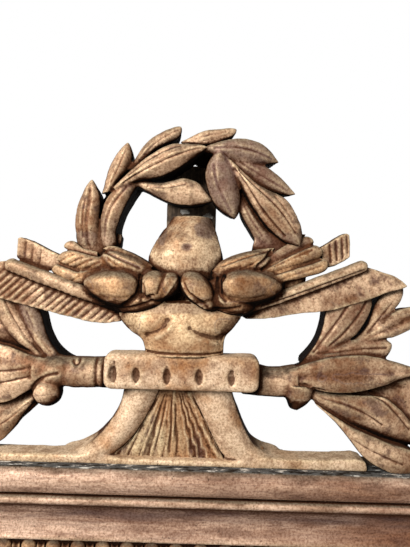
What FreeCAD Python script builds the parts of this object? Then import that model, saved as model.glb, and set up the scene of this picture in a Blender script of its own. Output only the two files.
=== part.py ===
import FreeCAD, Part
import math
import os

from FreeCAD import Vector

os.makedirs("parts", exist_ok=True)

# Overall sizes, in millimetres
frame_width = 450.0
frame_height = 660.0
crest_height = 190.0
crest_half_width = 165.0
relief_depth = 44.0

# Clearances and cuts
overrun = 5.0
swing_gap = 0.3
pin_gap = 0.06
glass_play = 1.0

# Frame section, across the face from the outer edge and forward from the wall
face_width = 60.0
back_width = 52.0
rebate_depth = 16.0
shoulder_depth = 39.5
torus_width = 15.5
torus_depth = 43.0
quirk_depth = 37.0
quirk_width = 1.0
round_radius = 2.6
cove_step = 2.0
cove_width = 23.5
cove_end_depth = 28.0
cove_sag = 4.8
ledge_depth = 24.0
pearl_width = 9.0
pearl_height = 4.4
pearl_base = 2.2
sight_round = 2.0
torus_crown_share = 0.42

# Mitre keys
key_leg = 44.0
key_thickness = 4.0
key_depth = 8.0

# Glass and its blocks
glass_thickness = 4.0
block_length = 32.0
block_width = 7.0
block_shares = (-0.36, 0.0, 0.36)

# Backboards
board_thickness = 7.5
board_count = 3
lap_width = 9.0

# Turn buttons and their pivots
button_length = 34.0
button_width = 10.0
button_thickness = 2.0
button_inset = 40.0
pivot_radius = 1.9
pivot_bite = 13.0
pivot_head_radius = 3.9
pivot_head_height = 2.2
crown_share = 0.7
screw_facets = 10
button_end_facets = 6

# Hanger straps and rings
hanger_drop = 100.0
strap_width = 16.0
strap_length = 40.0
strap_thickness = 1.5
strap_screw_shares = (0.20, 0.78)
ring_wire_radius = 1.75
ring_lift = 0.4
ring_half_width = 13.0
ring_corner = 4.0
ring_side = 8.0
ring_facets = 10
ring_bend_facets = 14
ring_corner_facets = 4
eye_facets = 14
hanger_screw_radius = 1.7
hanger_screw_bite = 14.0
hanger_head_radius = 3.4
hanger_head_height = 1.8

# Crest batten, its screws and the dowels
batten_width = 30.0
batten_thickness = 8.0
batten_offset = 2.5
batten_tail = 45.0
batten_top_share = 0.91
batten_screw_radius = 2.0
batten_screw_length = 16.0
batten_head_radius = 4.0
batten_head_height = 3.0
rail_screw_shares = (0.30, 0.74)
crest_screw_shares = (0.11, 0.57)
dowel_radius = 4.0
dowel_rise = 8.0
dowel_bite = 18.0
dowel_depth = 22.0
dowel_spread = 45.0
rod_facets = 12

# Plinth and apron
plinth_thickness = 12.0
plinth_set = 8.0
plinth_foot_share = 0.013
apron_thickness = 12.0
flute_radius = 2.2
flute_count = 7
flute_top_shares = (-0.052, 0.018)
flute_foot_shares = (-0.170, 0.090)
flute_high_share = 0.240
flute_low_share = 0.020

# The plinth outline runs on from its start: one pair is the end of a line, two are an arc's middle and end.
# Pairs across are shares of the crest's half width, and upward of its height.
plinth_start_shares = (-0.660, 0.0)
plinth_shares = (
    ((0.640, 0.0),),
    ((0.640, 0.021),),
    ((0.490, 0.018),),
    ((0.265, 0.070), (0.178, 0.225)),
    ((0.030, 0.225),),
    ((0.064, 0.116), (0.139, plinth_foot_share)),
    ((-0.224, plinth_foot_share),),
    ((-0.142, 0.084), (-0.067, 0.225)),
    ((-0.205, 0.225),),
    ((-0.281, 0.065), (-0.508, 0.018)),
    ((-0.660, 0.023),),
)
apron_start_shares = (-0.224, plinth_foot_share)
apron_shares = (
    ((0.139, plinth_foot_share),),
    ((0.064, 0.116), (0.030, 0.225)),
    ((-0.067, 0.225),),
    ((-0.142, 0.084), (-0.224, plinth_foot_share)),
)

# Binding band
band_left_share = -0.258
band_right_share = 0.264
band_foot_share = 0.225
band_top_share = 0.329
band_thickness = 16.0
band_set = 16.0
band_corner = 4.5
band_round = 3.0
band_corner_facets = 3
notch_half_width = 2.4
notch_half_height = 5.0
notch_bite = 2.6
notch_height_share = 0.268
notch_shares = (-0.226, -0.147, -0.044, 0.062, 0.170)

# Vase: height as a share of the crest's height, half width of its half width
vase_axis_share = 0.006
vase_facets = 26
bowl_axis_depth = 6.0
urn_axis_depth = 14.0
bowl_shares = (
    (0.329, 0.136),
    (0.336, 0.131),
    (0.352, 0.131),
    (0.372, 0.143),
    (0.388, 0.166),
    (0.404, 0.190),
    (0.424, 0.211),
    (0.442, 0.221),
)
urn_shares = (
    (0.442, 0.121),
    (0.505, 0.134),
    (0.550, 0.137),
    (0.590, 0.134),
    (0.630, 0.126),
    (0.665, 0.112),
    (0.695, 0.091),
    (0.718, 0.066),
    (0.732, 0.040),
)

# Arrows: shaft ends, and vane corners
shaft_radius = 3.2
shaft_rise_share = 0.56
vane_rise_share = 0.50
vane_back_share = 0.28
barb_half_width = 0.9
barb_count = 9
left_shaft_shares = ((-0.606, 0.574), (-0.179, 0.446))
left_upper_vane_shares = ((-0.568, 0.656), (-0.568, 0.563), (-0.380, 0.508), (-0.367, 0.585))
left_lower_vane_shares = (
    (-0.600, 0.598),
    (-0.706, 0.580),
    (-0.740, 0.548),
    (-0.675, 0.482),
    (-0.496, 0.447),
    (-0.411, 0.427),
    (-0.323, 0.410),
    (-0.267, 0.408),
    (-0.210, 0.416),
    (-0.210, 0.459),
)
left_barb_shares = ((-0.255, 0.462), (-0.690, 0.597), (-0.045, -0.092))
right_shaft_shares = ((0.613, 0.604), (0.173, 0.440))
right_upper_vane_shares = ((0.475, 0.656), (0.557, 0.699), (0.572, 0.579), (0.374, 0.508), (0.362, 0.596))
right_lower_vane_shares = (
    (0.588, 0.601),
    (0.701, 0.588),
    (0.745, 0.574),
    (0.764, 0.547),
    (0.689, 0.517),
    (0.588, 0.487),
    (0.481, 0.462),
    (0.371, 0.451),
    (0.224, 0.435),
    (0.186, 0.448),
)
right_barb_shares = ((0.255, 0.468), (0.690, 0.620), (0.045, -0.092))

# Doves: each egg has its middle, its depth, its half length, half height, half depth and its tilt in degrees.
# Sizes are shares of the crest's half width, depths of the relief depth.
left_egg_shares = (
    (-0.182, 0.505, 0.45, 0.148, 0.066, 0.34, -12.0),
    (-0.239, 0.518, 0.68, 0.092, 0.050, 0.25, -12.0),
    (-0.085, 0.524, 0.72, 0.067, 0.054, 0.22, -20.0),
)
right_egg_shares = (
    (0.188, 0.511, 0.45, 0.142, 0.066, 0.34, 10.0),
    (0.224, 0.529, 0.68, 0.103, 0.049, 0.25, 10.0),
    (0.058, 0.526, 0.72, 0.069, 0.053, 0.22, -48.0),
)
egg_facets = 14
egg_level_shares = (-0.98, -0.82, -0.48, 0.0, 0.48, 0.82, 0.98)
beak_radius = 3.4
beak_tip_radius = 0.7
beak_depth_share = 0.80
left_beak_shares = ((-0.055, 0.526), (-0.016, 0.520))
right_beak_shares = ((0.030, 0.516), (0.000, 0.492))

# Leaves and feathers: base, tip, bulge to the left and right as shares of the length, rise at base and tip.
# Across is a share of the crest's half width, upward of its height, rise of the relief depth.
leaf_step_shares = (0.12, 0.32, 0.55, 0.80)
leaf_middle_share = 0.5
leaf_fullness_share = 4.0
leaf_fall_share = 0.45
leaf_back_share = 0.80
leaf_front_share = 1.12
left_feather_shares = (
    (-0.135, 0.553, -0.292, 0.632, 0.24, 0.22, 0.56, 0.48),
    (-0.270, 0.553, -0.455, 0.602, 0.22, 0.22, 0.58, 0.46),
    (-0.260, 0.525, -0.474, 0.542, 0.17, 0.17, 0.60, 0.50),
    (-0.265, 0.560, -0.417, 0.648, 0.17, 0.17, 0.48, 0.40),
)
right_feather_shares = (
    (0.110, 0.558, 0.305, 0.640, 0.20, 0.22, 0.56, 0.48),
    (0.260, 0.560, 0.487, 0.636, 0.20, 0.22, 0.58, 0.46),
    (0.255, 0.540, 0.506, 0.574, 0.17, 0.17, 0.60, 0.50),
    (0.285, 0.575, 0.469, 0.680, 0.19, 0.19, 0.48, 0.40),
)
wreath_left_shares = (
    (-0.339, 0.589, -0.327, 0.839, 0.17, 0.15, 0.50, 0.52),
    (-0.279, 0.589, -0.156, 0.832, 0.17, 0.12, 0.52, 0.52),
    (-0.273, 0.768, -0.200, 0.947, 0.17, 0.15, 0.50, 0.44),
    (-0.188, 0.895, -0.018, 1.000, 0.15, 0.11, 0.48, 0.44),
    (-0.255, 0.805, 0.073, 0.942, 0.16, 0.11, 0.66, 0.72),
    (-0.182, 0.826, 0.085, 0.782, 0.19, 0.15, 0.56, 0.54),
)
wreath_right_shares = (
    (-0.012, 0.953, 0.167, 0.995, 0.12, 0.22, 0.44, 0.42),
    (0.085, 0.937, 0.315, 0.908, 0.22, 0.12, 0.58, 0.52),
    (0.145, 0.916, 0.376, 0.811, 0.14, 0.14, 0.52, 0.46),
    (0.127, 0.921, 0.388, 0.642, 0.16, 0.12, 0.66, 0.62),
    (0.103, 0.926, 0.173, 0.724, 0.19, 0.28, 0.58, 0.50),
    (0.188, 0.805, 0.303, 0.632, 0.11, 0.20, 0.44, 0.42),
)
branch_radius = 7.0
branch_rise_share = 0.22
wreath_left_branch_shares = ((-0.303, 0.558), (-0.290, 0.730), (-0.200, 0.850), (-0.060, 0.905))
wreath_right_branch_shares = ((0.045, 0.940), (0.215, 0.842), (0.300, 0.730), (0.333, 0.620))
left_spray_shares = (
    (-0.436, 0.289, -0.624, 0.516, 0.20, 0.13, 0.40, 0.42),
    (-0.440, 0.274, -0.909, 0.300, 0.14, 0.17, 0.56, 0.46),
    (-0.430, 0.253, -0.885, 0.105, 0.13, 0.16, 0.48, 0.42),
    (-0.503, 0.200, -0.848, 0.005, 0.17, 0.09, 0.40, 0.42),
    (-0.460, 0.290, -0.824, 0.474, 0.13, 0.15, 0.34, 0.40),
    (-0.606, 0.253, -0.958, 0.174, 0.13, 0.13, 0.30, 0.32),
    (-0.715, 0.268, -1.000, 0.247, 0.13, 0.17, 0.36, 0.30),
    (-0.679, 0.158, -0.945, 0.026, 0.12, 0.12, 0.30, 0.30),
)
right_spray_shares = (
    (0.400, 0.253, 0.861, 0.274, 0.16, 0.13, 0.58, 0.46),
    (0.440, 0.300, 0.733, 0.353, 0.16, 0.12, 0.44, 0.36),
    (0.450, 0.305, 0.830, 0.455, 0.13, 0.13, 0.42, 0.46),
    (0.424, 0.295, 0.655, 0.511, 0.16, 0.13, 0.38, 0.40),
    (0.485, 0.321, 0.752, 0.521, 0.13, 0.11, 0.34, 0.36),
    (0.455, 0.216, 0.867, 0.053, 0.17, 0.10, 0.48, 0.42),
    (0.503, 0.179, 0.861, 0.005, 0.09, 0.16, 0.40, 0.42),
    (0.570, 0.247, 0.933, 0.130, 0.17, 0.13, 0.30, 0.32),
    (0.715, 0.263, 1.000, 0.216, 0.13, 0.13, 0.36, 0.30),
    (0.679, 0.158, 0.958, 0.021, 0.12, 0.12, 0.30, 0.30),
)
stem_radius = 8.2
stem_rise_share = 0.34
left_stem_shares = ((0.0, 0.258), (-0.570, 0.268))
right_stem_shares = ((0.0, 0.258), (0.500, 0.268))
stump_radius = 7.6
left_stump_share = (-0.461, 0.200)
right_stump_share = (0.394, 0.195)

# Heights and depths worked out from the sizes above
frame_foot = -back_width / 2
frame_head = frame_foot + frame_height
frame_middle = (frame_foot + frame_head) / 2
crest_foot = frame_head
crest_back = batten_thickness
half_frame = frame_width / 2
pearl_start = torus_width + 2 * quirk_width + 2 * round_radius + cove_width


def spot(x, depth, z):
    return Vector(x, -depth, z)


def line(a, b):
    return Part.LineSegment(a, b).toShape()


def arc(a, b, c):
    return Part.Arc(a, b, c).toShape()


def block(x0, x1, depth0, depth1, z0, z1):
    return Part.makeBox(x1 - x0, depth1 - depth0, z1 - z0, spot(x0, depth1, z0))


def joined(shapes):
    return shapes[0].multiFuse(shapes[1:]).removeSplitter()


def carved(x_share, z_share, depth):
    return spot(x_share * crest_half_width, depth, crest_foot + z_share * crest_height)


def risen(share):
    return crest_back + share * relief_depth


def thickened(edges, thickness):
    return Part.Face(Part.Wire(edges)).extrude(spot(0, thickness, 0))


def flat_face(points):
    return Part.Face(Part.makePolygon(list(points) + [points[0]]))


def faceted(rings, looped=False):
    pairs = list(zip(rings, rings[1:] + rings[:1])) if looped else list(zip(rings, rings[1:]))
    faces = [] if looped else [flat_face(rings[0]), flat_face(rings[-1])]
    for near, far in pairs:
        faces += [flat_face([near[i - 1], near[i], far[i], far[i - 1]]) for i in range(len(near))]
    solid = Part.Solid(Part.Shell(faces))
    if solid.Volume < 0:
        solid.reverse()
    return solid


def ring_points(middle, across, up, facets):
    angles = [2 * math.pi * step / facets for step in range(facets)]
    return [middle + across * math.cos(angle) + up * math.sin(angle) for angle in angles]


def turned(base, way, across, profile, facets):
    up = way.cross(across)
    rings = [ring_points(base + way * reach, across * size, up * size, facets) for reach, size in profile]
    return faceted(rings)


def clear_radius(radius, facets):
    return (radius + pin_gap) / math.cos(math.pi / facets)


def run_of_edges(start_share, shares, depth):
    start = carved(*start_share, depth)
    here = start
    edges = []
    for row in shares:
        points = [carved(*pair, depth) for pair in row]
        edges.append(line(here, points[0]) if len(points) == 1 else arc(here, *points))
        here = points[-1]
    if here.distanceToPoint(start) > pin_gap:
        edges.append(line(here, start))
    return edges


# Frame lengths: a section across the face, drawn out, mitred, turned to its side of the frame
def frame_section():
    u_round = torus_width + quirk_width
    u_cove = u_round + 2 * round_radius + quirk_width
    cove_top = quirk_depth - cove_step
    cove_middle = ((u_cove + pearl_start) / 2, (cove_top + cove_end_depth) / 2 - cove_sag)

    def at(u, depth):
        return spot(0, depth, -u)

    return [
        line(at(0, 0), at(0, shoulder_depth)),
        arc(
            at(0, shoulder_depth),
            at(torus_width * torus_crown_share, torus_depth),
            at(torus_width, quirk_depth),
        ),
        line(at(torus_width, quirk_depth), at(u_round, quirk_depth)),
        arc(
            at(u_round, quirk_depth),
            at(u_round + round_radius, quirk_depth + round_radius),
            at(u_round + 2 * round_radius, quirk_depth),
        ),
        line(at(u_round + 2 * round_radius, quirk_depth), at(u_cove, cove_top)),
        arc(at(u_cove, cove_top), at(*cove_middle), at(pearl_start, cove_end_depth)),
        line(at(pearl_start, cove_end_depth), at(pearl_start, ledge_depth)),
        line(at(pearl_start, ledge_depth), at(face_width - sight_round, ledge_depth)),
        line(at(face_width - sight_round, ledge_depth), at(face_width, ledge_depth - sight_round)),
        line(at(face_width, ledge_depth - sight_round), at(face_width, rebate_depth)),
        line(at(face_width, rebate_depth), at(back_width, rebate_depth)),
        line(at(back_width, rebate_depth), at(back_width, 0)),
        line(at(back_width, 0), at(0, 0)),
    ]


def pearl_section():
    def at(u, rise):
        return spot(0, ledge_depth + rise, -pearl_start - u)

    crown = at(pearl_width / 2, pearl_base + pearl_height)
    return [
        line(at(0, 0), at(0, pearl_base)),
        arc(at(0, pearl_base), crown, at(pearl_width, pearl_base)),
        line(at(pearl_width, pearl_base), at(pearl_width, 0)),
        line(at(pearl_width, 0), at(0, 0)),
    ]


def mitred_length(section, length, turn, reach):
    bar = Part.Face(Part.Wire(section)).extrude(Vector(length, 0, 0))
    bar.translate(Vector(-length / 2, 0, 0))
    inner = length / 2 - face_width
    corners = [(-length / 2, 0), (length / 2, 0), (inner, -face_width), (-inner, -face_width)]
    mitre = Part.Face(Part.makePolygon([spot(x, -overrun, z) for x, z in corners + corners[:1]]))
    bar = bar.common(mitre.extrude(spot(0, torus_depth + 2 * overrun, 0)))
    bar.translate(Vector(0, 0, reach))
    bar.rotate(Vector(), Vector(0, 1, 0), turn)
    bar.translate(Vector(0, 0, frame_middle))
    return bar.Solids[0]


def corner_key(side, end):
    corner = (side * half_frame, frame_middle + end * frame_height / 2)
    across = (corner[0] - side * key_leg, corner[1])
    down = (corner[0], corner[1] - end * key_leg)
    face = Part.Face(Part.makePolygon([spot(x, key_depth, z) for x, z in (corner, across, down, corner)]))
    return face.extrude(spot(0, key_thickness, 0))


sides = {
    "top": (frame_width, 0, frame_height / 2),
    "right": (frame_height, 90, half_frame),
    "bottom": (frame_width, 180, frame_height / 2),
    "left": (frame_height, 270, half_frame),
}
rails = {name: mitred_length(frame_section(), *place) for name, place in sides.items()}
pearl_strips = {name: mitred_length(pearl_section(), *place) for name, place in sides.items()}
corner_keys = [corner_key(side, end) for side in (-1, 1) for end in (-1, 1)]
rails = {name: rail.cut(Part.makeCompound(corner_keys)) for name, rail in rails.items()}

# Glass in the rebate, and the blocks behind it
glass_half = half_frame - back_width - glass_play
glass_foot = frame_foot + back_width + glass_play
glass_head = frame_head - back_width - glass_play
glass_back = rebate_depth - glass_thickness
mirror_plate = block(-glass_half, glass_half, glass_back, rebate_depth, glass_foot, glass_head)


def glass_block(x, z, half_x, half_z):
    return block(x - half_x, x + half_x, board_thickness, glass_back, z - half_z, z + half_z)


glass_blocks = []
for share in block_shares:
    for way in (-1, 1):
        edge_x = way * (half_frame - back_width - block_width / 2)
        edge_z = frame_middle + way * (frame_height / 2 - back_width - block_width / 2)
        level = frame_middle + share * (glass_head - glass_foot)
        glass_blocks.append(glass_block(edge_x, level, block_width / 2, block_length / 2))
        glass_blocks.append(glass_block(share * 2 * glass_half, edge_z, block_length / 2, block_width / 2))

# Backboards, half-lapped to each other and flush with the back of the frame
board_height = (glass_head - glass_foot) / board_count


def backboard(level):
    foot = glass_foot + level * board_height
    head = foot + board_height
    board = block(-glass_half, glass_half, 0, board_thickness, foot, head)
    if level > 0:
        board = board.cut(block(-half_frame, half_frame, 0, board_thickness / 2, foot, foot + lap_width))
    if level < board_count - 1:
        board = board.fuse(block(-glass_half, glass_half, 0, board_thickness / 2, head, head + lap_width))
    return board.removeSplitter()


backboards = [backboard(level) for level in range(board_count)]


# Screws driven from the back, with coned heads, and the holes that they fill
def driven_screw(x, z, head_depth, radius, bite, head_radius, head_height):
    neck = bite + head_depth
    crown = crown_share * head_radius
    profile = ((0, radius), (neck, radius), (neck, head_radius), (neck + head_height, crown))
    return turned(spot(x, bite, z), Vector(0, 1, 0), Vector(1, 0, 0), profile, screw_facets)


def screw_hole(x, z, radius, bite):
    profile = ((0, radius), (bite, radius))
    return turned(spot(x, bite, z), Vector(0, 1, 0), Vector(1, 0, 0), profile, screw_facets)


# Turn buttons on the stiles, each on its own pivot screw
def button_place(side, level):
    return side * (half_frame - button_inset), glass_foot + (2 * level + 1) * board_height / 2


def turn_button(side, level):
    x, z = button_place(side, level)
    end = button_width / 2
    far = side * (button_width - button_length)

    def at(along, up):
        return spot(x + along, -swing_gap, z + up)

    outline = []
    for step in range(button_end_facets + 1):
        angle = math.pi * step / button_end_facets
        outline.append(at(side * end * math.sin(angle), end * math.cos(angle)))
    for step in range(button_end_facets + 1):
        angle = math.pi * step / button_end_facets
        outline.append(at(far - side * end * math.sin(angle), -end * math.cos(angle)))
    hole = screw_hole(x, z, clear_radius(pivot_radius, screw_facets), button_thickness + 2 * overrun)
    hole.translate(spot(0, -button_thickness - overrun, 0))
    return flat_face(outline).extrude(spot(0, -button_thickness, 0)).cut(hole)


levels = ("lower", "middle", "upper")
button_names = [(side, level) for side in (-1, 1) for level in range(board_count)]
turn_buttons = {}
pivot_screws = []
stile_holes = {-1: [], 1: []}
pivot_head_depth = 2 * swing_gap + button_thickness
for side, level in button_names:
    x, z = button_place(side, level)
    word = "left" if side < 0 else "right"
    turn_buttons[f"turn_button_{word}_{levels[level]}"] = turn_button(side, level)
    pivot_screws.append(
        driven_screw(x, z, pivot_head_depth, pivot_radius, pivot_bite, pivot_head_radius, pivot_head_height)
    )
    stile_holes[side].append(screw_hole(x, z, pivot_radius, pivot_bite))

# Hanger straps: a plate with an eye rolled round the bar of its ring
eye_bore = clear_radius(ring_wire_radius, eye_facets)
eye_radius = eye_bore + strap_thickness
eye_stand = eye_radius + ring_lift
eye_height = frame_head - hanger_drop
strap_head = eye_height + strap_length
hanger_x = half_frame - back_width / 2


def hanger_strap(side):
    x0 = side * hanger_x - strap_width / 2
    plate = block(x0, x0 + strap_width, -strap_thickness, 0, eye_height, strap_head)
    place = (spot(x0, -eye_stand, eye_height), Vector(1, 0, 0), Vector(0, 0, 1))
    eye = turned(*place, ((0, eye_radius), (strap_width, eye_radius)), eye_facets)
    bore = turned(*place, ((0, eye_bore), (strap_width, eye_bore)), eye_facets)
    strap = plate.fuse(eye).cut(bore)
    for share in strap_screw_shares:
        z = strap_head - share * strap_length
        hole = screw_hole(side * hanger_x, z, hanger_screw_radius, strap_thickness)
        hole.translate(spot(0, -strap_thickness, 0))
        strap = strap.cut(hole)
    return strap.removeSplitter()


def hanging_ring(side):
    half, corner, drop = ring_half_width, ring_corner, ring_side
    bends = (
        (half - corner, -corner, corner, 90, 0, ring_corner_facets),
        (0, -drop, half, 0, -180, ring_bend_facets),
        (corner - half, -corner, corner, 180, 90, ring_corner_facets),
    )
    rings = []
    for x, z, radius, first, last, facets in bends:
        middle = spot(side * hanger_x + x, -eye_stand, eye_height + z)
        for step in range(facets + 1):
            angle = math.radians(first + (last - first) * step / facets)
            outward = Vector(math.cos(angle), 0, math.sin(angle))
            sides = (outward * ring_wire_radius, Vector(0, ring_wire_radius, 0))
            rings.append(ring_points(middle + outward * radius, *sides, ring_facets))
    return faceted(rings, looped=True)


hanger_screws = []
for side in (-1, 1):
    for share in strap_screw_shares:
        z = strap_head - share * strap_length
        hanger_screws.append(
            driven_screw(
                side * hanger_x,
                z,
                strap_thickness,
                hanger_screw_radius,
                hanger_screw_bite,
                hanger_head_radius,
                hanger_head_height,
            )
        )
        stile_holes[side].append(screw_hole(side * hanger_x, z, hanger_screw_radius, hanger_screw_bite))
rails["left"] = rails["left"].cut(Part.makeCompound(stile_holes[-1]))
rails["right"] = rails["right"].cut(Part.makeCompound(stile_holes[1]))

# Crest batten, let into the back of the top rail, with its sunk screws
batten_left = batten_offset - batten_width / 2
batten_right = batten_offset + batten_width / 2
batten_foot = crest_foot - batten_tail
batten_head = crest_foot + batten_top_share * crest_height
screw_levels = [crest_foot - share * batten_tail for share in rail_screw_shares]
screw_levels += [crest_foot + share * crest_height for share in crest_screw_shares]


def sunk_screw(z):
    radius, length = batten_screw_radius, batten_screw_length
    profile = ((0, radius), (length - batten_head_height, radius), (length, batten_head_radius))
    start = spot(batten_offset, batten_screw_length, z)
    return turned(start, Vector(0, 1, 0), Vector(1, 0, 0), profile, screw_facets)


batten_screws = [sunk_screw(z) for z in screw_levels]
screw_ways = Part.makeCompound(batten_screws)
batten_blank = block(batten_left, batten_right, 0, batten_thickness, batten_foot, batten_head)
crest_batten = batten_blank.cut(screw_ways)


def dowel(x):
    foot = spot(x, dowel_depth, crest_foot - dowel_bite)
    profile = ((0, dowel_radius), (dowel_bite + dowel_rise, dowel_radius))
    return turned(foot, Vector(0, 0, 1), Vector(1, 0, 0), profile, rod_facets)


crest_dowels = [dowel(side * dowel_spread) for side in (-1, 1)]
rails["top"] = rails["top"].cut([batten_blank, screw_ways] + crest_dowels)

# Plinth: two flaring legs on one thin foot
plinth_back = crest_back + plinth_set
plinth_front = plinth_back + plinth_thickness
plinth = thickened(run_of_edges(plinth_start_shares, plinth_shares, plinth_back), plinth_thickness)
crest_plinth = plinth.cut(crest_dowels)

# Apron between the legs, fluted from the band down
apron = thickened(run_of_edges(apron_start_shares, apron_shares, crest_back), apron_thickness)
apron_front = crest_back + apron_thickness
for step in range(flute_count):
    part = step / (flute_count - 1)
    top_share = flute_top_shares[0] + part * (flute_top_shares[1] - flute_top_shares[0])
    foot_share = flute_foot_shares[0] + part * (flute_foot_shares[1] - flute_foot_shares[0])
    head = carved(top_share, flute_high_share, apron_front)
    foot = carved(foot_share, flute_low_share, apron_front)
    profile = ((0, flute_radius), (head.distanceToPoint(foot), flute_radius))
    apron = apron.cut(turned(foot, (head - foot).normalize(), Vector(0, 1, 0), profile, rod_facets))
crest_apron = apron.cut(screw_ways)


# Eggs, cut in facets, for the birds, the notches and the twig stumps
def egg(middle, half_length, half_height, half_depth, tilt):
    rings = []
    for along in egg_level_shares:
        size = math.sqrt(1 - along * along)
        sides = (Vector(0, size * half_depth, 0), Vector(0, 0, size * half_height))
        rings.append(ring_points(Vector(along * half_length, 0, 0), *sides, egg_facets))
    solid = faceted(rings)
    solid.rotate(Vector(), Vector(0, -1, 0), tilt)
    solid.translate(middle)
    return solid


# Binding band with gouged notches
band_back = crest_back + band_set
band_front = band_back + band_thickness


def band_ring(inset, depth):
    points = []
    left = band_left_share * crest_half_width
    right = band_right_share * crest_half_width
    foot = crest_foot + band_foot_share * crest_height
    head = crest_foot + band_top_share * crest_height
    corners = ((right, head, -1, -1), (left, head, 1, -1), (left, foot, 1, 1), (right, foot, -1, 1))
    for turn, (x, z, way_x, way_z) in enumerate(corners):
        for step in range(band_corner_facets + 1):
            angle = math.pi / 2 * (turn + step / band_corner_facets)
            across = x + way_x * band_corner + (band_corner - inset) * math.cos(angle)
            upward = z + way_z * band_corner + (band_corner - inset) * math.sin(angle)
            points.append(spot(across, depth, upward))
    return points


rim_angles = [math.pi / 2 * step / band_corner_facets for step in range(band_corner_facets + 1)]
band_rings = [band_ring(0, band_back)]
for angle in rim_angles:
    inset = band_round * (1 - math.cos(angle))
    band_rings.append(band_ring(inset, band_front - band_round * (1 - math.sin(angle))))
binding_band = faceted(band_rings)
for share in notch_shares:
    middle = carved(share, notch_height_share, band_front)
    binding_band = binding_band.cut(egg(middle, notch_half_height, notch_half_width, notch_bite, 90))


# Vase: bowl and urn, turned on one upright axis and cut flat at the back
def half_turned(shares, axis_depth):
    axis = carved(vase_axis_share, 0, axis_depth)
    profile = [(z_share * crest_height, width_share * crest_half_width) for z_share, width_share in shares]
    wide = crest_half_width
    behind = block(-wide, wide, crest_back - wide, crest_back, crest_foot, crest_foot + crest_height)
    return turned(axis, Vector(0, 0, 1), Vector(1, 0, 0), profile, vase_facets).cut(behind)


# Leaf: a pointed outline that draws in behind, cut to a ridge in front
def leaf_outline(length, left, right, size, height):
    places = [(0, 0)] + [(share, left) for share in leaf_step_shares]
    places += [(1, 0)] + [(1 - share, -right) for share in leaf_step_shares]
    points = []
    for share, bulge in places:
        along = length / 2 + size * (share - leaf_middle_share) * length
        points.append(Vector(along, size * bulge * leaf_fullness_share * share * (1 - share), height))
    return points


def leaf(shares):
    base_x, base_z, tip_x, tip_z, left_share, right_share, base_rise, tip_rise = shares
    base = carved(base_x, base_z, crest_back)
    along = carved(tip_x, tip_z, crest_back) - base
    length = along.Length
    along.normalize()
    left = left_share * length
    right = right_share * length
    half = max(left, right)
    height = max(base_rise, tip_rise) * relief_depth
    levels = ((leaf_back_share, 0), (leaf_front_share, height))
    outlines = [leaf_outline(length, left, right, *level) for level in levels]
    roofs = []
    for x, share in ((0, base_rise), (length, tip_rise)):
        ridge = share * relief_depth
        edge = ridge - leaf_fall_share * half
        corners = ((-half, 0), (half, 0), (half, edge), (0, ridge), (-half, edge))
        roofs.append([Vector(x, y, z) for y, z in corners])
    solid = faceted(outlines).common(faceted(roofs))
    place = FreeCAD.Matrix(
        along.x, -along.z, 0, base.x, 0, 0, -1, base.y, along.z, along.x, 0, base.z, 0, 0, 0, 1
    )
    return solid.transformed(place)


def rod(ends, radius, rise_share):
    start, end = [carved(*pair, risen(rise_share)) for pair in ends]
    profile = ((0, radius), (start.distanceToPoint(end), radius))
    return turned(start, (end - start).normalize(), Vector(0, 1, 0), profile, rod_facets)


def main_solid(shape):
    return max(shape.Solids, key=lambda solid: solid.Volume)


# Doves: egg-shaped body, wing and head, a beak, and feathers behind
def dove(egg_shares, feather_shares, beak_shares):
    shapes = []
    for x_share, z_share, rise_share, long_share, short_share, deep_share, tilt in egg_shares:
        sizes = (long_share * crest_half_width, short_share * crest_half_width, deep_share * relief_depth)
        shapes.append(egg(carved(x_share, z_share, risen(rise_share)), *sizes, tilt))
    shapes += [leaf(row) for row in feather_shares]
    root, point = [carved(*pair, risen(beak_depth_share)) for pair in beak_shares]
    profile = ((0, beak_radius), (root.distanceToPoint(point), beak_tip_radius))
    shapes.append(turned(root, (point - root).normalize(), Vector(0, 1, 0), profile, rod_facets))
    return joined(shapes)


left_dove = dove(left_egg_shares, left_feather_shares, left_beak_shares)
right_dove = main_solid(dove(right_egg_shares, right_feather_shares, right_beak_shares).cut(left_dove))
doves = [left_dove, right_dove]
bowl = main_solid(half_turned(bowl_shares, bowl_axis_depth).cut(doves + [screw_ways]))
urn = main_solid(half_turned(urn_shares, urn_axis_depth).cut(doves + [screw_ways]))


# Arrows: a round shaft between two vanes scored with barbs
def vane(shares):
    points = [carved(*pair, risen(vane_back_share)) for pair in shares]
    edges = [line(a, b) for a, b in zip(points, points[1:] + points[:1])]
    return thickened(edges, risen(vane_rise_share) - risen(vane_back_share))


def barb_cut(start, end):
    across = (end - start).cross(Vector(0, 1, 0)).normalize() * barb_half_width
    lip = spot(0, barb_half_width, 0)
    corners = [start - across + lip, start + across + lip, start - lip]
    return Part.Face(Part.makePolygon(corners + corners[:1])).extrude(end - start)


def arrow(shaft_shares, upper_shares, lower_shares, barb_shares):
    vanes = vane(upper_shares).fuse(vane(lower_shares))
    first, last, way = barb_shares
    front = risen(vane_rise_share)
    for step in range(barb_count):
        part = step / (barb_count - 1)
        root = [a + part * (b - a) for a, b in zip(first, last)]
        start = carved(*root, front)
        end = carved(root[0] + way[0], root[1] + way[1], front)
        vanes = vanes.cut(barb_cut(start, end))
    return joined([rod(shaft_shares, shaft_radius, shaft_rise_share), vanes])


vase_and_doves = doves + [bowl, urn]
left_arrow = arrow(left_shaft_shares, left_upper_vane_shares, left_lower_vane_shares, left_barb_shares)
left_arrow = main_solid(left_arrow.cut(vase_and_doves))
right_arrow = arrow(right_shaft_shares, right_upper_vane_shares, right_lower_vane_shares, right_barb_shares)
right_arrow = main_solid(right_arrow.cut(vase_and_doves))
trophy = vase_and_doves + [left_arrow, right_arrow]

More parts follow.
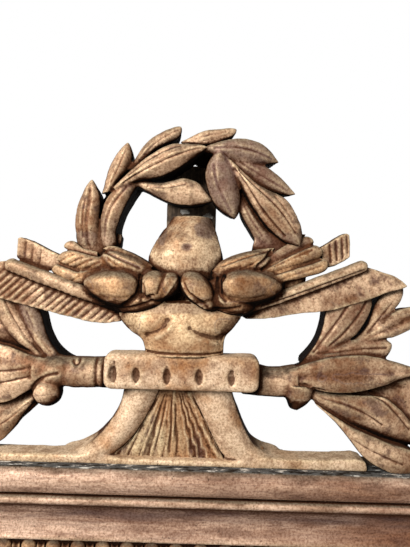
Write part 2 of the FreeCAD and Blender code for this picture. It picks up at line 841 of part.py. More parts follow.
# Wreath: two branches of overlapping leaves that meet above the urn
def wreath_branch(leaf_shares, branch_shares):
    runs = zip(branch_shares, branch_shares[1:])
    rods = [rod(ends, branch_radius, branch_rise_share) for ends in runs]
    return joined([leaf(row) for row in leaf_shares] + rods)


wreath_left = wreath_branch(wreath_left_shares, wreath_left_branch_shares)
wreath_left = main_solid(wreath_left.cut(trophy))
wreath_right = wreath_branch(wreath_right_shares, wreath_right_branch_shares)
wreath_right = main_solid(wreath_right.cut(trophy + [wreath_left]))


# Laurel sprays: a stem out of the band, a cut twig below it, and a fan of leaves
def spray(leaf_shares, stem_shares, stump_share):
    shapes = [leaf(row) for row in leaf_shares]
    shapes.append(rod(stem_shares, stem_radius, stem_rise_share))
    middle = carved(*stump_share, risen(stem_rise_share))
    shapes.append(egg(middle, stump_radius, stump_radius, stump_radius, 90))
    return joined(shapes)


around = [binding_band, crest_plinth, rails["top"]] + trophy
left_spray = main_solid(spray(left_spray_shares, left_stem_shares, left_stump_share).cut(around))
right_spray = main_solid(spray(right_spray_shares, right_stem_shares, right_stump_share).cut(around))

nodes = {
    "top_rail": rails["top"],
    "bottom_rail": rails["bottom"],
    "left_stile": rails["left"],
    "right_stile": rails["right"],
    "corner_keys": Part.makeCompound(corner_keys),
    "mirror_plate": mirror_plate,
    "glass_blocks": Part.makeCompound(glass_blocks),
    "turn_button_screws": Part.makeCompound(pivot_screws),
    "left_hanger_strap": hanger_strap(-1),
    "right_hanger_strap": hanger_strap(1),
    "left_hanging_ring": hanging_ring(-1),
    "right_hanging_ring": hanging_ring(1),
    "hanger_screws": Part.makeCompound(hanger_screws),
    "crest_batten": crest_batten,
    "batten_screws": Part.makeCompound(batten_screws),
    "crest_dowels": Part.makeCompound(crest_dowels),
    "crest_plinth": crest_plinth,
    "crest_apron": crest_apron,
    "binding_band": binding_band,
    "bowl": bowl,
    "urn": urn,
    "left_arrow": left_arrow,
    "right_arrow": right_arrow,
    "left_dove": left_dove,
    "right_dove": right_dove,
    "wreath_left_branch": wreath_left,
    "wreath_right_branch": wreath_right,
    "left_laurel_spray": left_spray,
    "right_laurel_spray": right_spray,
}
nodes.update({f"bead_strip_{name}": strip for name, strip in pearl_strips.items()})
nodes.update({f"backboard_{levels[level]}": board for level, board in enumerate(backboards)})
nodes.update(turn_buttons)

for name, shape in nodes.items():
    shape.exportStep(f"parts/{name}.step")
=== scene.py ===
import math

import bpy
import numpy as np
from mathutils import Matrix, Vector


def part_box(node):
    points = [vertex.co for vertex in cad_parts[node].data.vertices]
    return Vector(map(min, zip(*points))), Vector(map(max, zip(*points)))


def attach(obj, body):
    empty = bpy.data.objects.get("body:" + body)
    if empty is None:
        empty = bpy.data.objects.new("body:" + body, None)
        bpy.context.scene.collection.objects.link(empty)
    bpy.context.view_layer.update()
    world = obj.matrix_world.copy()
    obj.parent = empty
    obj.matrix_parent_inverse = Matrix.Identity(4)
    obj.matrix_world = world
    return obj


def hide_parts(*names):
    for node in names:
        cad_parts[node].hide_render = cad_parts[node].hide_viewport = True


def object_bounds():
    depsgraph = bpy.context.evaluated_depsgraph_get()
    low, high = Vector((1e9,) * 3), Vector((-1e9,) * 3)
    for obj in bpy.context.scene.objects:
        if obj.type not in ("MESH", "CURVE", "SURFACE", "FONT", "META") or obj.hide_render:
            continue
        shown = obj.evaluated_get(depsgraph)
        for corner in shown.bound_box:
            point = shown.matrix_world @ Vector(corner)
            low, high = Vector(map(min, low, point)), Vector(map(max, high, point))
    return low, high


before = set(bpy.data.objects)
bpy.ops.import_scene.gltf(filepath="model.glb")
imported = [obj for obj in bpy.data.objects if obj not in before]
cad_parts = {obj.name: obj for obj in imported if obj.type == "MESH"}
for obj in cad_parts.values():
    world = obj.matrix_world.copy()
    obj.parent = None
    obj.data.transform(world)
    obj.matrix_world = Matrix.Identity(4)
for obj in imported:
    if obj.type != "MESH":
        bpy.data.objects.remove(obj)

cad_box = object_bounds()

# Frame rails and stiles: four limewood lengths of one section, torus, bead and cove, gessoed and bronze-gilt.
# Mitred and keyed at the corners; the back stays bare wood. The rounds are rubbed, the quirks are painted dark
# as shade.
# The lower half of the bead and the upper cove are painted in shade too, and the fronts are painted paler
# towards one end of each length as painted light.
crest_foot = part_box("crest_plinth")[0].z
frame_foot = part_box("bottom_rail")[0].z
frame_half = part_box("right_stile")[1].x
mm = (frame_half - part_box("right_stile")[0].x) / 60.0


def tone(red, green, blue):
    parts = [value / 255 for value in (red, green, blue)]
    return tuple(v / 12.92 if v <= 0.04045 else ((v + 0.055) / 1.055) ** 2.4 for v in parts) + (1.0,)


def wobble(points, size, seed):
    cells = np.asarray(points) / size + seed * 17.31
    low = np.floor(cells)
    part = cells - low
    part = part * part * (3 - 2 * part)
    low = low.astype(np.int64)
    total = np.zeros(len(cells))
    for corner in range(8):
        step = np.array([corner & 1, corner >> 1 & 1, corner >> 2 & 1])
        key = (low + step) * np.array([73856093, 19349663, 83492791])
        mixed = (key[:, 0] ^ key[:, 1] ^ key[:, 2]) & 0x7FFFFFFF
        mixed = (mixed * 1103515245 + 12345) & 0x7FFFFFFF
        mixed = (mixed ^ (mixed >> 13)) * 69069 & 0x7FFFFFFF
        total += np.where(step, part, 1 - part).prod(1) * (mixed / 0x7FFFFFFF * 2 - 1)
    return total


def mesh_of(name, points, faces):
    mesh = bpy.data.meshes.new(name)
    mesh.from_pydata([tuple(point) for point in points], [], faces)
    mesh.update()
    return mesh


def tube_faces(rows, columns, start=0):
    faces = []
    for i in range(start, start + rows * columns, columns):
        for j in range(columns):
            k = (j + 1) % columns
            faces.append((i + j, i + k, i + columns + k, i + columns + j))
    last = start + rows * columns
    return faces + [tuple(range(start + columns - 1, start - 1, -1)), tuple(range(last, last + columns))]


def set_mask(mesh, name, values):
    mask = mesh.attributes.get(name) or mesh.attributes.new(name, "FLOAT", "POINT")
    mask.data.foreach_set("value", np.clip(values, 0, 1).astype(np.float32))


def points_and_pairs(mesh):
    points = np.zeros(len(mesh.vertices) * 3)
    mesh.vertices.foreach_get("co", points)
    pairs = np.zeros(len(mesh.edges) * 2, np.int32)
    mesh.edges.foreach_get("vertices", pairs)
    return points.reshape(-1, 3), pairs.reshape(-1, 2)


def smoothed(points, pairs, rounds, keep=0.4):
    count = len(points)
    both = np.concatenate([pairs[:, 0], pairs[:, 1]])
    other = np.concatenate([pairs[:, 1], pairs[:, 0]])
    near = np.maximum(np.bincount(both, minlength=count), 1)
    for _ in range(rounds):
        mean = np.stack([np.bincount(both, points[other, c], count) / near for c in range(points.shape[1])], 1)
        points = points * keep + mean * (1 - keep)
    return points


def normals_of(mesh, points):
    mesh.vertices.foreach_set("co", points.astype(np.float32).ravel())
    mesh.update()
    normals = np.zeros(len(points) * 3, np.float32)
    mesh.vertex_normals.foreach_get("vector", normals)
    return normals.reshape(-1, 3).astype(float)


def with_change(mesh, kind, **settings):
    holder = bpy.data.objects.new(mesh.name + "_blank", mesh)
    bpy.context.scene.collection.objects.link(holder)
    change = holder.modifiers.new("change", kind)
    for name, value in settings.items():
        setattr(change, name, value)
    bpy.context.view_layer.update()
    changed = bpy.data.meshes.new_from_object(holder.evaluated_get(bpy.context.evaluated_depsgraph_get()))
    bpy.data.objects.remove(holder)
    bpy.data.meshes.remove(mesh)
    return changed


def wear_masks(mesh, scale=0.35, broad=0.0):
    points, pairs = points_and_pairs(mesh)
    normals = normals_of(mesh, points)
    bent = ((points - smoothed(points, pairs, 12)) * normals).sum(1) / (scale * mm)
    if broad:
        wide = ((points - smoothed(points, pairs, 70)) * normals).sum(1) / (broad * mm)
        bent = np.where(np.abs(wide) > np.abs(bent), wide, bent)
    set_mask(mesh, "hollow", -bent)
    set_mask(mesh, "edge", bent)


def piece(name, mesh, finishes, slot, body, *stands_for):
    made = bpy.data.objects.new(name, mesh)
    bpy.context.scene.collection.objects.link(made)
    mesh.polygons.foreach_set("use_smooth", np.ones(len(mesh.polygons), bool))
    mesh.materials.clear()
    for finish in finishes:
        mesh.materials.append(finish)
    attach(made, body)
    if stands_for:
        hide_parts(*stands_for)
    return made


class Nodes:
    def __init__(self, tree):
        self.tree = tree

    def add(self, kind, settings=None, **inputs):
        node = self.tree.nodes.new(kind)
        for name, value in (settings or {}).items():
            setattr(node, name, value)
        for name, value in inputs.items():
            self.put(node.inputs[name.replace("_", " ")], value)
        return node

    def put(self, socket, value):
        if isinstance(value, bpy.types.NodeSocket):
            self.tree.links.new(value, socket)
        else:
            socket.default_value = value

    def noise(self, where, scale, detail=3.0, rough=0.55):
        return self.add(
            "ShaderNodeTexNoise", Vector=where, Scale=scale, Detail=detail, Roughness=rough).outputs["Fac"]

    def span(self, value, low, high, start=0.0, end=1.0):
        node = self.add("ShaderNodeMapRange", {"interpolation_type": "SMOOTHSTEP"})
        for name, given in zip(
            ("Value", "From Min", "From Max", "To Min", "To Max"), (value, low, high, start, end)):
            self.put(node.inputs[name], given)
        return node.outputs["Result"]

    def math(self, how, first, second=0.0):
        node = self.add("ShaderNodeMath", {"operation": how})
        self.put(node.inputs[0], first)
        self.put(node.inputs[1], second)
        return node.outputs[0]

    def blend(self, share, under, over, how="MIX"):
        node = self.add("ShaderNodeMix", {"data_type": "RGBA", "blend_type": how})
        self.put(node.inputs["Factor"], share)
        self.put(node.inputs[6], under)
        self.put(node.inputs[7], over)
        return node.outputs[2]

    def spot(self):
        return self.add("ShaderNodeTexCoord").outputs["Object"]

    def times(self, where, share):
        node = self.add("ShaderNodeVectorMath", {"operation": "MULTIPLY"})
        self.put(node.inputs[0], where)
        self.put(node.inputs[1], share)
        return node.outputs[0]

    def mask(self, name):
        return self.add("ShaderNodeAttribute", {"attribute_name": name}).outputs["Fac"]


COLOUR, NUMBER, VECTOR = "NodeSocketColor", "NodeSocketFloat", "NodeSocketVector"
LOOK = {"Colour": COLOUR, "Rough": NUMBER, "Height": NUMBER}


def group_of(name, inputs, outputs):
    group = bpy.data.node_groups.new(name, "ShaderNodeTree")
    for socket, (kind, value) in inputs.items():
        group.interface.new_socket(socket, in_out="INPUT", socket_type=kind).default_value = value
    for socket, kind in outputs.items():
        group.interface.new_socket(socket, in_out="OUTPUT", socket_type=kind)
    nodes = Nodes(group)
    return group, nodes, nodes.add("NodeGroupInput").outputs, nodes.add("NodeGroupOutput").inputs


def finish_of(name, group, bump_height, shader_values, **values):
    material = bpy.data.materials.new(name)
    material.use_nodes = True
    n = Nodes(material.node_tree)
    shader = material.node_tree.nodes["Principled BSDF"]
    for socket, value in shader_values.items():
        shader.inputs[socket].default_value = value
    placed = n.add("ShaderNodeGroup", {"node_tree": group})
    for socket, value in values.items():
        n.put(placed.inputs[socket.replace("_", " ")], value)
    bump = n.add("ShaderNodeBump", Strength=0.6, Distance=bump_height)
    for out, socket in (("Height", bump.inputs["Height"]), ("Colour", shader.inputs["Base Color"]),
                        ("Rough", shader.inputs["Roughness"]), ("Metal", shader.inputs["Metallic"])):
        if out in placed.outputs:
            n.put(socket, placed.outputs[out])
    n.put(shader.inputs["Normal"], bump.outputs["Normal"])
    return material


gilding, g, given, result = group_of(
    "worn_gilding",
    {
        "Stretch": (VECTOR, (1.0, 1.0, 1.0)),
        "Pale gold": (COLOUR, tone(246, 213, 177)),
        "Bronze": (COLOUR, tone(176, 128, 88)),
        # The purple, glaze and near-black colours below also carry painted shade: purple-grey through the grey
        # mask, glaze brown and near black through the recess mask.
        "Worn purple and shade": (COLOUR, tone(124, 98, 90)),
        "Dust": (COLOUR, tone(98, 88, 74)),
        "Glaze and shade": (COLOUR, tone(86, 52, 32)),
        "Deep shade": (COLOUR, tone(14, 7, 4)),
        "Paleness": (NUMBER, 0.0),
        "Crackle": (NUMBER, 0.06),
        "Streaks": (NUMBER, 0.0),
        "Wear": (NUMBER, 0.5),
        "Dusting": (NUMBER, 0.7),
    },
    {**LOOK, "Metal": NUMBER},
)
plain_spot = g.spot()
spot_in = g.times(plain_spot, given["Stretch"])
clouds = g.noise(spot_in, 42.0, 4.0)
blotch = g.noise(spot_in, 120.0, 5.0, 0.62)
grain = g.noise(plain_spot, 800.0, 4.0, 0.65)
speck = g.noise(plain_spot, 560.0, 2.0)
edge, hollow, recess_shade, flake, behind, pale, grey = (
    g.mask(m) for m in ("edge", "hollow", "recess_shade", "flake", "behind", "pale", "grey"))
upward = g.add("ShaderNodeSeparateXYZ", Vector=g.add("ShaderNodeNewGeometry").outputs["Normal"]).outputs["Z"]
colour = g.blend(
    g.span(g.math("ADD", clouds, given["Paleness"]), 0.40, 0.64), given["Bronze"], given["Pale gold"])
# The pale mask lifts the colour to pale gold: painted light on the frame fronts towards one end, and a paler
# tone on leaves given a positive tint.
colour = g.blend(pale, colour, given["Pale gold"])
worn = g.math("MULTIPLY", g.span(blotch, 0.50, 0.66), given["Wear"])
streak = g.span(g.noise(g.times(spot_in, given["Stretch"]), 700.0, 3.0, 0.65), 0.46, 0.58)
worn = g.math(
    "MAXIMUM", worn,
    g.math("MULTIPLY", streak, g.math("MULTIPLY", given["Streaks"], g.span(grey, 0.0, 0.6, 0.35, 1.0))))
# The grey mask adds purple-grey: real streaks on the frame, and painted shade in its upper cove and along the
# bowl under the doves.
worn = g.math("MAXIMUM", worn, g.math("MULTIPLY", grey, g.span(blotch, 0.2, 0.6, 0.55, 1.0)))
colour = g.blend(worn, colour, given["Worn purple and shade"])
colour = g.blend(
    g.math("MULTIPLY", streak, g.math("MULTIPLY", given["Streaks"], 0.22)), colour, tone(150, 122, 110),
    "MULTIPLY")
dusty = g.span(g.math("ADD", upward, g.math("MULTIPLY", blotch, 0.5)), 0.55, 1.15)
dusty = g.math("MULTIPLY", dusty, given["Dusting"])
colour = g.blend(dusty, colour, given["Dust"])
rubbed = g.math("MULTIPLY", edge, g.span(blotch, 0.34, 0.56))
colour = g.blend(g.math("MULTIPLY", rubbed, 0.7), colour, tone(255, 230, 186))
glazed = g.span(g.math("ADD", hollow, g.math("MULTIPLY", grain, 0.4)), 0.32, 0.9)
colour = g.blend(g.math("MULTIPLY", glazed, 0.9), colour, given["Glaze and shade"])
# Painted shade: the recess mask darkens sunk spots, leaf sides, faces turned from the front and the frame
# quirks to glaze brown, then nearly black.
colour = g.blend(
    g.span(g.math("ADD", recess_shade, g.math("MULTIPLY", grain, 0.2)), 0.2, 0.62), colour, given["Glaze and shade"])
colour = g.blend(g.span(recess_shade, 0.4, 0.85), colour, given["Deep shade"])
web = g.add(
    "ShaderNodeTexVoronoi", {"feature": "DISTANCE_TO_EDGE"}, Vector=spot_in, Scale=330.0).outputs["Distance"]
web = g.math(
    "MULTIPLY", g.span(web, 0.0, 0.1, 1.0, 0.0),
    g.math("MULTIPLY", given["Crackle"], g.span(blotch, 0.38, 0.6)))
colour = g.blend(web, colour, tone(112, 84, 62))
pits = g.span(speck, 0.67, 0.74)
colour = g.blend(g.math("MULTIPLY", pits, 0.6), colour, tone(66, 40, 26))
colour = g.blend(g.math("MULTIPLY", g.span(grain, 0.38, 0.68), 0.62), colour, tone(142, 104, 80), "MULTIPLY")
colour = g.blend(g.math("MULTIPLY", g.span(blotch, 0.44, 0.66), 0.45), colour, tone(172, 138, 112), "MULTIPLY")
flakes = g.noise(spot_in, 420.0, 3.0, 0.7)
lost = g.blend(g.span(flakes, 0.40, 0.52), tone(18, 14, 12), tone(96, 96, 94))
lost = g.blend(g.span(flakes, 0.595, 0.635), lost, tone(226, 220, 208))
colour = g.blend(flake, colour, lost)
stain = g.blend(g.span(grain, 0.3, 0.7), tone(58, 40, 28), tone(92, 68, 48))
colour = g.blend(behind, colour, stain)
g.put(result["Colour"], colour)
dull = g.math("ADD", g.math("ADD", dusty, recess_shade), g.math("ADD", flake, behind))
g.put(result["Rough"], g.span(g.math("ADD", dull, g.math("MULTIPLY", blotch, 0.5)), 0.1, 1.1, 0.36, 0.95))
g.put(result["Metal"], g.span(dull, 0.0, 0.8, 0.12, 0.0))
relief = g.math("ADD", g.math("MULTIPLY", grain, 0.45), g.math("MULTIPLY", blotch, 0.8))
g.put(result["Height"], g.math("SUBTRACT", relief, g.math("MULTIPLY", pits, 0.6)))


def gilt(name, **values):
    return finish_of(name, gilding, 0.0006, {"IOR": 1.45, "Specular IOR Level": 0.06}, **values)


rail_gilt = gilt(
    "rail_gilt", Wear=0.5, Dusting=0.9, Stretch=(0.3, 1.0, 1.0), Pale_gold=tone(246, 208, 178),
    Bronze=tone(164, 118, 90), Streaks=0.7)
stile_gilt = gilt(
    "stile_gilt", Wear=0.5, Dusting=0.9, Stretch=(1.0, 1.0, 0.3), Pale_gold=tone(246, 208, 178),
    Bronze=tone(164, 118, 90), Streaks=0.7)
# The top face of the top rail behind the crest: real dust, painted in a paler dust colour as painted light
# where the crest's shadow falls.
top_lit_dust = gilt("rail_top_lit_dust", Dust=tone(206, 198, 174), Dusting=1.0)

softwood, g, given, result = group_of(
    "bare_softwood",
    {
        "Grain way": (VECTOR, (0.05, 1.0, 1.0)),
        "Early": (COLOUR, tone(176, 134, 92)),
        "Late": (COLOUR, tone(120, 82, 52)),
        "Soil": (COLOUR, tone(64, 46, 34)),
    },
    LOOK,
)
spot_in = g.spot()
along = g.times(spot_in, given["Grain way"])
rings = g.noise(along, 90.0, 4.0, 0.6)
fibre = g.noise(along, 900.0, 3.0, 0.6)
patch = g.noise(spot_in, 16.0, 4.0)
bands = g.math("SINE", g.math("MULTIPLY", rings, 46.0))
colour = g.blend(g.span(bands, -0.4, 0.9), given["Early"], given["Late"])
colour = g.blend(g.math("MULTIPLY", fibre, 0.5), colour, given["Late"])
soiled = g.math("ADD", g.span(patch, 0.42, 0.75, 0.0, 0.7), g.mask("hollow"))
colour = g.blend(g.span(soiled, 0.0, 1.1), colour, given["Soil"])
g.put(result["Colour"], colour)
g.put(result["Rough"], g.span(fibre, 0.3, 0.7, 0.7, 0.9))
g.put(result["Height"], g.math("ADD", fibre, g.math("MULTIPLY", bands, 0.15)))
WOOD_SHADER = {"Specular IOR Level": 0.25}
wood_across = finish_of("wood_across", softwood, 0.0004, WOOD_SHADER)
wood_upright = finish_of("wood_upright", softwood, 0.0004, WOOD_SHADER, Grain_way=(1.0, 1.0, 0.05))


def arc_run(first, middle, last, count):
    (ax, ay), (bx, by), (cx, cy) = first, middle, last
    d = 2 * (ax * (by - cy) + bx * (cy - ay) + cx * (ay - by))
    ux = ((ax**2 + ay**2) * (by - cy) + (bx**2 + by**2) * (cy - ay) + (cx**2 + cy**2) * (ay - by)) / d
    uy = ((ax**2 + ay**2) * (cx - bx) + (bx**2 + by**2) * (ax - cx) + (cx**2 + cy**2) * (bx - ax)) / d
    turns = [math.atan2(y - uy, x - ux) for x, y in (first, middle, last)]
    sweep = (turns[2] - turns[0]) % (2 * math.pi)
    if (turns[1] - turns[0]) % (2 * math.pi) > sweep:
        sweep -= 2 * math.pi
    radius = math.hypot(ax - ux, ay - uy)
    steps = [turns[0] + sweep * i / count for i in range(count + 1)]
    return [(ux + radius * math.cos(t), uy + radius * math.sin(t)) for t in steps]


def straight_run(first, last, count):
    return [tuple(a + (b - a) * i / count for a, b in zip(first, last)) for i in range(count + 1)]


face_line = []
for run in (
    straight_run((0, 0), (0, 39.5), 22),
    arc_run((0, 39.5), (6.5, 43.0), (15.5, 37.0), 18),
    straight_run((15.5, 37.0), (16.5, 37.0), 2),
    arc_run((16.5, 37.0), (19.1, 39.6), (21.7, 37.0), 12),
    straight_run((21.7, 37.0), (22.7, 35.0), 3),
    arc_run((22.7, 35.0), (34.45, 26.7), (46.2, 28.0), 22),
    straight_run((46.2, 28.0), (46.2, 24.0), 3),
    straight_run((46.2, 24.0), (58.0, 24.0), 8),
    straight_run((58.0, 24.0), (60.0, 22.0), 2),
    straight_run((60.0, 22.0), (60.0, 16.0), 4),
    straight_run((60.0, 16.0), (52.0, 16.0), 4),
    straight_run((52.0, 16.0), (52.0, 0), 8),
    straight_run((52.0, 0), (0, 0), 14),
):
    face_line += run[:-1]
face_line = np.array(face_line)


def moulded(name, length, turn, reach, seed):
    count = max(40, int(length / mm / 3.2))
    ring = len(face_line)
    shares = np.linspace(-1, 1, count + 1)
    across, depth = face_line[:, 0] * mm, face_line[:, 1] * mm
    if name == "top_rail":
        ease_down, ease_deep = 3.6 * mm, 10
        across = across + ease_down * np.clip(1 - face_line[:, 1] / ease_deep, 0, 1) * (face_line[:, 0] < 0.1)
    grid = np.zeros((count + 1, ring, 3))
    grid[:, :, 0] = shares[:, None] * (length / 2 - across)[None, :]
    grid[:, :, 1] = -depth
    grid[:, :, 2] = reach - across
    flat = grid.reshape(-1, 3)
    front = np.tile((face_line[:, 1] > 17).astype(float), count + 1)
    ends = np.repeat(np.clip((1 - np.abs(shares)) * length / (6 * mm), 0, 1), ring)
    wave = wobble(flat * np.array([0.35, 1, 1]), 9 * mm, seed) * 0.25 + wobble(flat, 3.0 * mm, seed + 1) * 0.12
    flat[:, 1] -= wave * mm * front * ends
    spin = np.array(Matrix.Rotation(math.radians(turn), 3, "Y"))
    middle = np.array([0, 0, (frame_foot + crest_foot) / 2])
    mesh = mesh_of(name, flat @ spin.T + middle, tube_faces(count, ring))
    near = np.abs(face_line[:, None] - face_line[None, :]).sum(2)
    share = np.exp(-((near / 2.2) ** 2))
    line = (share @ face_line[:, 1]) / share.sum(1) - face_line[:, 1]
    shown = face_line[:, 1] > 17
    u = face_line[:, 0]
    # Painted shade: the quirks, the lower half of the bead and the top of the cove are darkened through the
    # recess and hollow masks.
    under_bead = np.interp(
        u, [9, 15, 15.6, 18.8, 20.4, 23.5, 29, 40, 47], [0, 0.28, 0.36, 0, 0.42, 0.46, 0.1, 0, 0.12])
    set_mask(mesh, "recess_shade", np.tile(np.where(shown, line * 0.9 + under_bead, 0), count + 1))
    set_mask(mesh, "hollow", np.tile(np.where(shown, line * 1.1 + under_bead, 0), count + 1))
    set_mask(mesh, "edge", np.tile(np.where(shown, -line * 0.9, 0), count + 1))
    # Painted light: the fronts are paler towards one end of each length, the left on the top rail, and less
    # pale in the cove.
    lit = 0.52 - flat[:, 0] / (210 * mm) + wobble(flat, 40 * mm, seed + 2) * 0.25
    set_mask(mesh, "pale", lit * front * np.tile(np.where((u > 24) & (u < 36), 0.3, 1), count + 1))
    # Grey streaks along the length, and a grey band in the upper cove painted as shade under the bead.
    streak = wobble(flat * np.array([0.12, 1, 1]), 3.4 * mm, seed + 3)
    streak = streak + 0.6 * wobble(flat * np.array([0.1, 1, 1]), 1.6 * mm, seed + 4)
    cove = np.tile(0.75 * np.exp(-(((u - 29.5) / 5.0) ** 2)) * (u > 23), count + 1)
    set_mask(mesh, "grey", (0.3 * streak + cove * (1 + 0.3 * streak)) * front)
    top_face = (face_line[:, 0] < 0.1) & (face_line[:, 1] > 24) & (name == "top_rail")
    set_mask(mesh, "flake", np.tile(np.where(top_face, 0.9, 0), count + 1))
    looks = []
    for u, d in face_line:
        outer = u < 0.1
        looks.append(2 if outer and d < 24 and name == "top_rail" else 1 if d < 16.5 and not outer else 0)
    mesh.polygons.foreach_set("material_index", np.array(looks * count + [1, 1], np.int32))
    return mesh


def block_mesh(name, low, high):
    points = [(x, y, z) for x in (low[0], high[0]) for y in (low[1], high[1]) for z in (low[2], high[2])]
    return mesh_of(
        name, points, [(0, 1, 3, 2), (4, 6, 7, 5), (0, 4, 5, 1), (2, 3, 7, 6), (0, 2, 6, 4), (1, 5, 7, 3)])


frame_tall = crest_foot - frame_foot
frame_lengths = {
    "top_rail": (2 * frame_half, 0, frame_tall / 2),
    "right_stile": (frame_tall, 90, frame_half),
    "bottom_rail": (2 * frame_half, 180, frame_tall / 2),
    "left_stile": (frame_tall, 270, frame_half),
}
batten_low, batten_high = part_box("crest_batten")
for seed, (name, place) in enumerate(frame_lengths.items()):
    mesh = moulded(name, *place, seed * 5)
    if name == "top_rail":
        room = 0.1 * mm
        housing = bpy.data.objects.new("housing", block_mesh(
            "housing", (batten_low.x - room, batten_low.y - room, batten_low.z - room),
            (batten_high.x + room, mm, crest_foot + 5 * mm)))
        bpy.context.scene.collection.objects.link(housing)
        mesh = with_change(mesh, "BOOLEAN", object=housing, operation="DIFFERENCE", solver="EXACT")
        bpy.data.objects.remove(housing)
    looks = [rail_gilt, wood_across, top_lit_dust] if "rail" in name else [stile_gilt, wood_upright]
    piece(name + "_moulded", mesh, looks, "gilt_limewood", "mirror", name)

# Corner keys: thin wooden slips glued across each mitre to hold it, planed off flush with the frame.
# Their end grain shows as a darker line at the corners.


def to_crest(points):
    return np.stack([points[:, 0] / mm, -points[:, 1] / mm, (points[:, 2] - crest_foot) / mm], 1)


class Carving:
    def __init__(self):
        self.points, self.faces, self.count, self.tints = [], [], 0, []

    def add(self, points, faces):
        self.points.append(np.asarray(points, float))
        self.faces += [tuple(i + self.count for i in face) for face in faces]
        self.count += len(points)

    def node(self, name, swell=0.0):
        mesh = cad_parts[name].data
        points, _ = points_and_pairs(mesh)
        if swell:
            middle = (points.max(0) + points.min(0)) / 2
            points = middle + (points - middle) * (1 + swell)
        self.add(to_crest(points), [tuple(face.vertices) for face in mesh.polygons])

    def carved(self, name, voxel, rounds, detail=None, seed=0, rough=0.2):
        points = np.vstack(self.points)
        points = np.stack([points[:, 0] * mm, -points[:, 1] * mm, crest_foot + points[:, 2] * mm], 1)
        solid = with_change(mesh_of(name, points, self.faces), "REMESH", mode="VOXEL", voxel_size=voxel * mm)
        solid.name = name
        points, pairs = points_and_pairs(solid)
        points = smoothed(points, pairs, rounds)
        normals = normals_of(solid, points)
        lift = wobble(points, 7 * mm, seed) * rough + wobble(points, 2.6 * mm, seed + 3) * rough * 0.5
        if detail is not None:
            lift = lift + detail(to_crest(points), normals)
        points = smoothed(points + normals * (lift * mm)[:, None], pairs, 1, 0.7)
        solid.vertices.foreach_set("co", points.astype(np.float32).ravel())
        solid.update()
        return solid


def dressed(node, voxel, rounds, finish, slot, body="mirror", detail=None, rough=0.06, swell=0.0):
    shape = Carving()
    shape.node(node, swell)
    mesh = shape.carved(node, voxel, rounds, detail, len(node), rough)
    wear_masks(mesh, 0.12)
    return piece(node + "_worked", mesh, [finish], slot, body, node)


dressed("corner_keys", 0.5, 1, wood_upright, "bare_softwood", swell=0.0006)

# Pearl strips: thin gilt battens in the ledge round the sight edge, carved as rows of pearls and small reels.
# The strips are mitred at the corners and glued.
pearl_gilt = gilt("pearl_gilt", Wear=0.6, Dusting=0.9, Bronze=tone(132, 92, 62), Pale_gold=tone(208, 170, 128))
pearl_pitch, pearl_round = 14.0 * mm, 4.4 * mm


def pearl_strip(name, turn):
    low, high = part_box(name)
    middle = [(a + b) / 2 for a, b in zip(low, high)]
    length = max(high.x - low.x, high.z - low.z)
    width = min(high.x - low.x, high.z - low.z)
    base = -low.y - pearl_round if -low.y > 0 else 0
    back = -high.y
    points, faces, recess_shade = [], [], []

    def ring_run(rings):
        faces.extend(tube_faces(len(rings) - 1, len(rings[0]), len(points)))
        for ring in rings:
            points.extend(ring)

    half = width / 2
    section = [(-half, back), (-half, base - 0.4 * mm), (-half + 0.6 * mm, base), (half - 0.6 * mm, base),
               (half, base - 0.4 * mm), (half, back)]
    stations = np.linspace(-1, 1, int(length / (2 * mm)))
    ring_run([[(s * (length / 2 - half - t), -d, t) for t, d in section] for s in stations])
    # Painted shade: the ground behind the pearls and the feet of the pearls and reels are darkened through the
    # recess mask.
    recess_shade.extend([0.75] * (len(points) - len(recess_shade)))
    count = int((length - 2 * width) / pearl_pitch)
    for i in range(count + 1):
        x = (i - count / 2) * pearl_pitch
        rings = []
        for a in np.linspace(0.06, math.pi - 0.06, 13):
            size = math.sin(a) * pearl_round
            turns = np.linspace(0, 2 * math.pi, 20, endpoint=False)
            rings.append(
                [(x - math.cos(a) * pearl_round, -(base - 0.3 * mm + max(-0.4 * mm, size * math.sin(b))),
                  size * math.cos(b)) for b in turns])
        ring_run(rings)
        for ring in rings:
            recess_shade.extend([float(np.clip(0.75 - (-p[1] - base) / (2.6 * mm), 0, 1)) for p in ring])
        if i < count:
            reel = []
            for share in np.linspace(0.36, 0.64, 7):
                size = 1.9 * mm * (1 - 0.35 * math.cos((share - 0.5) * 22))
                turns = np.linspace(0, 2 * math.pi, 14, endpoint=False)
                reel.append([(x + share * pearl_pitch, -(base - 0.2 * mm + max(-0.3 * mm, size * math.sin(b))),
                              size * math.cos(b)) for b in turns])
            ring_run(reel)
            for ring in reel:
                recess_shade.extend([float(np.clip(0.85 - (-p[1] - base) / (2.6 * mm), 0, 1)) for p in ring])
    flat = np.array(points)
    flat[:, 1] -= wobble(flat, 5 * mm, turn) * 0.15 * mm
    spin = np.array(Matrix.Rotation(math.radians(turn), 3, "Y"))
    mesh = mesh_of(name, flat @ spin.T + np.array([middle[0], 0, middle[2]]), faces)
    set_mask(mesh, "recess_shade", np.array(recess_shade))
    return mesh


for side, turn in (("top", 180), ("right", 90), ("bottom", 0), ("left", 270)):
    piece(f"pearls_{side}", pearl_strip("bead_strip_" + side, turn), [pearl_gilt], "gilt_limewood", "mirror",
          "bead_strip_" + side)

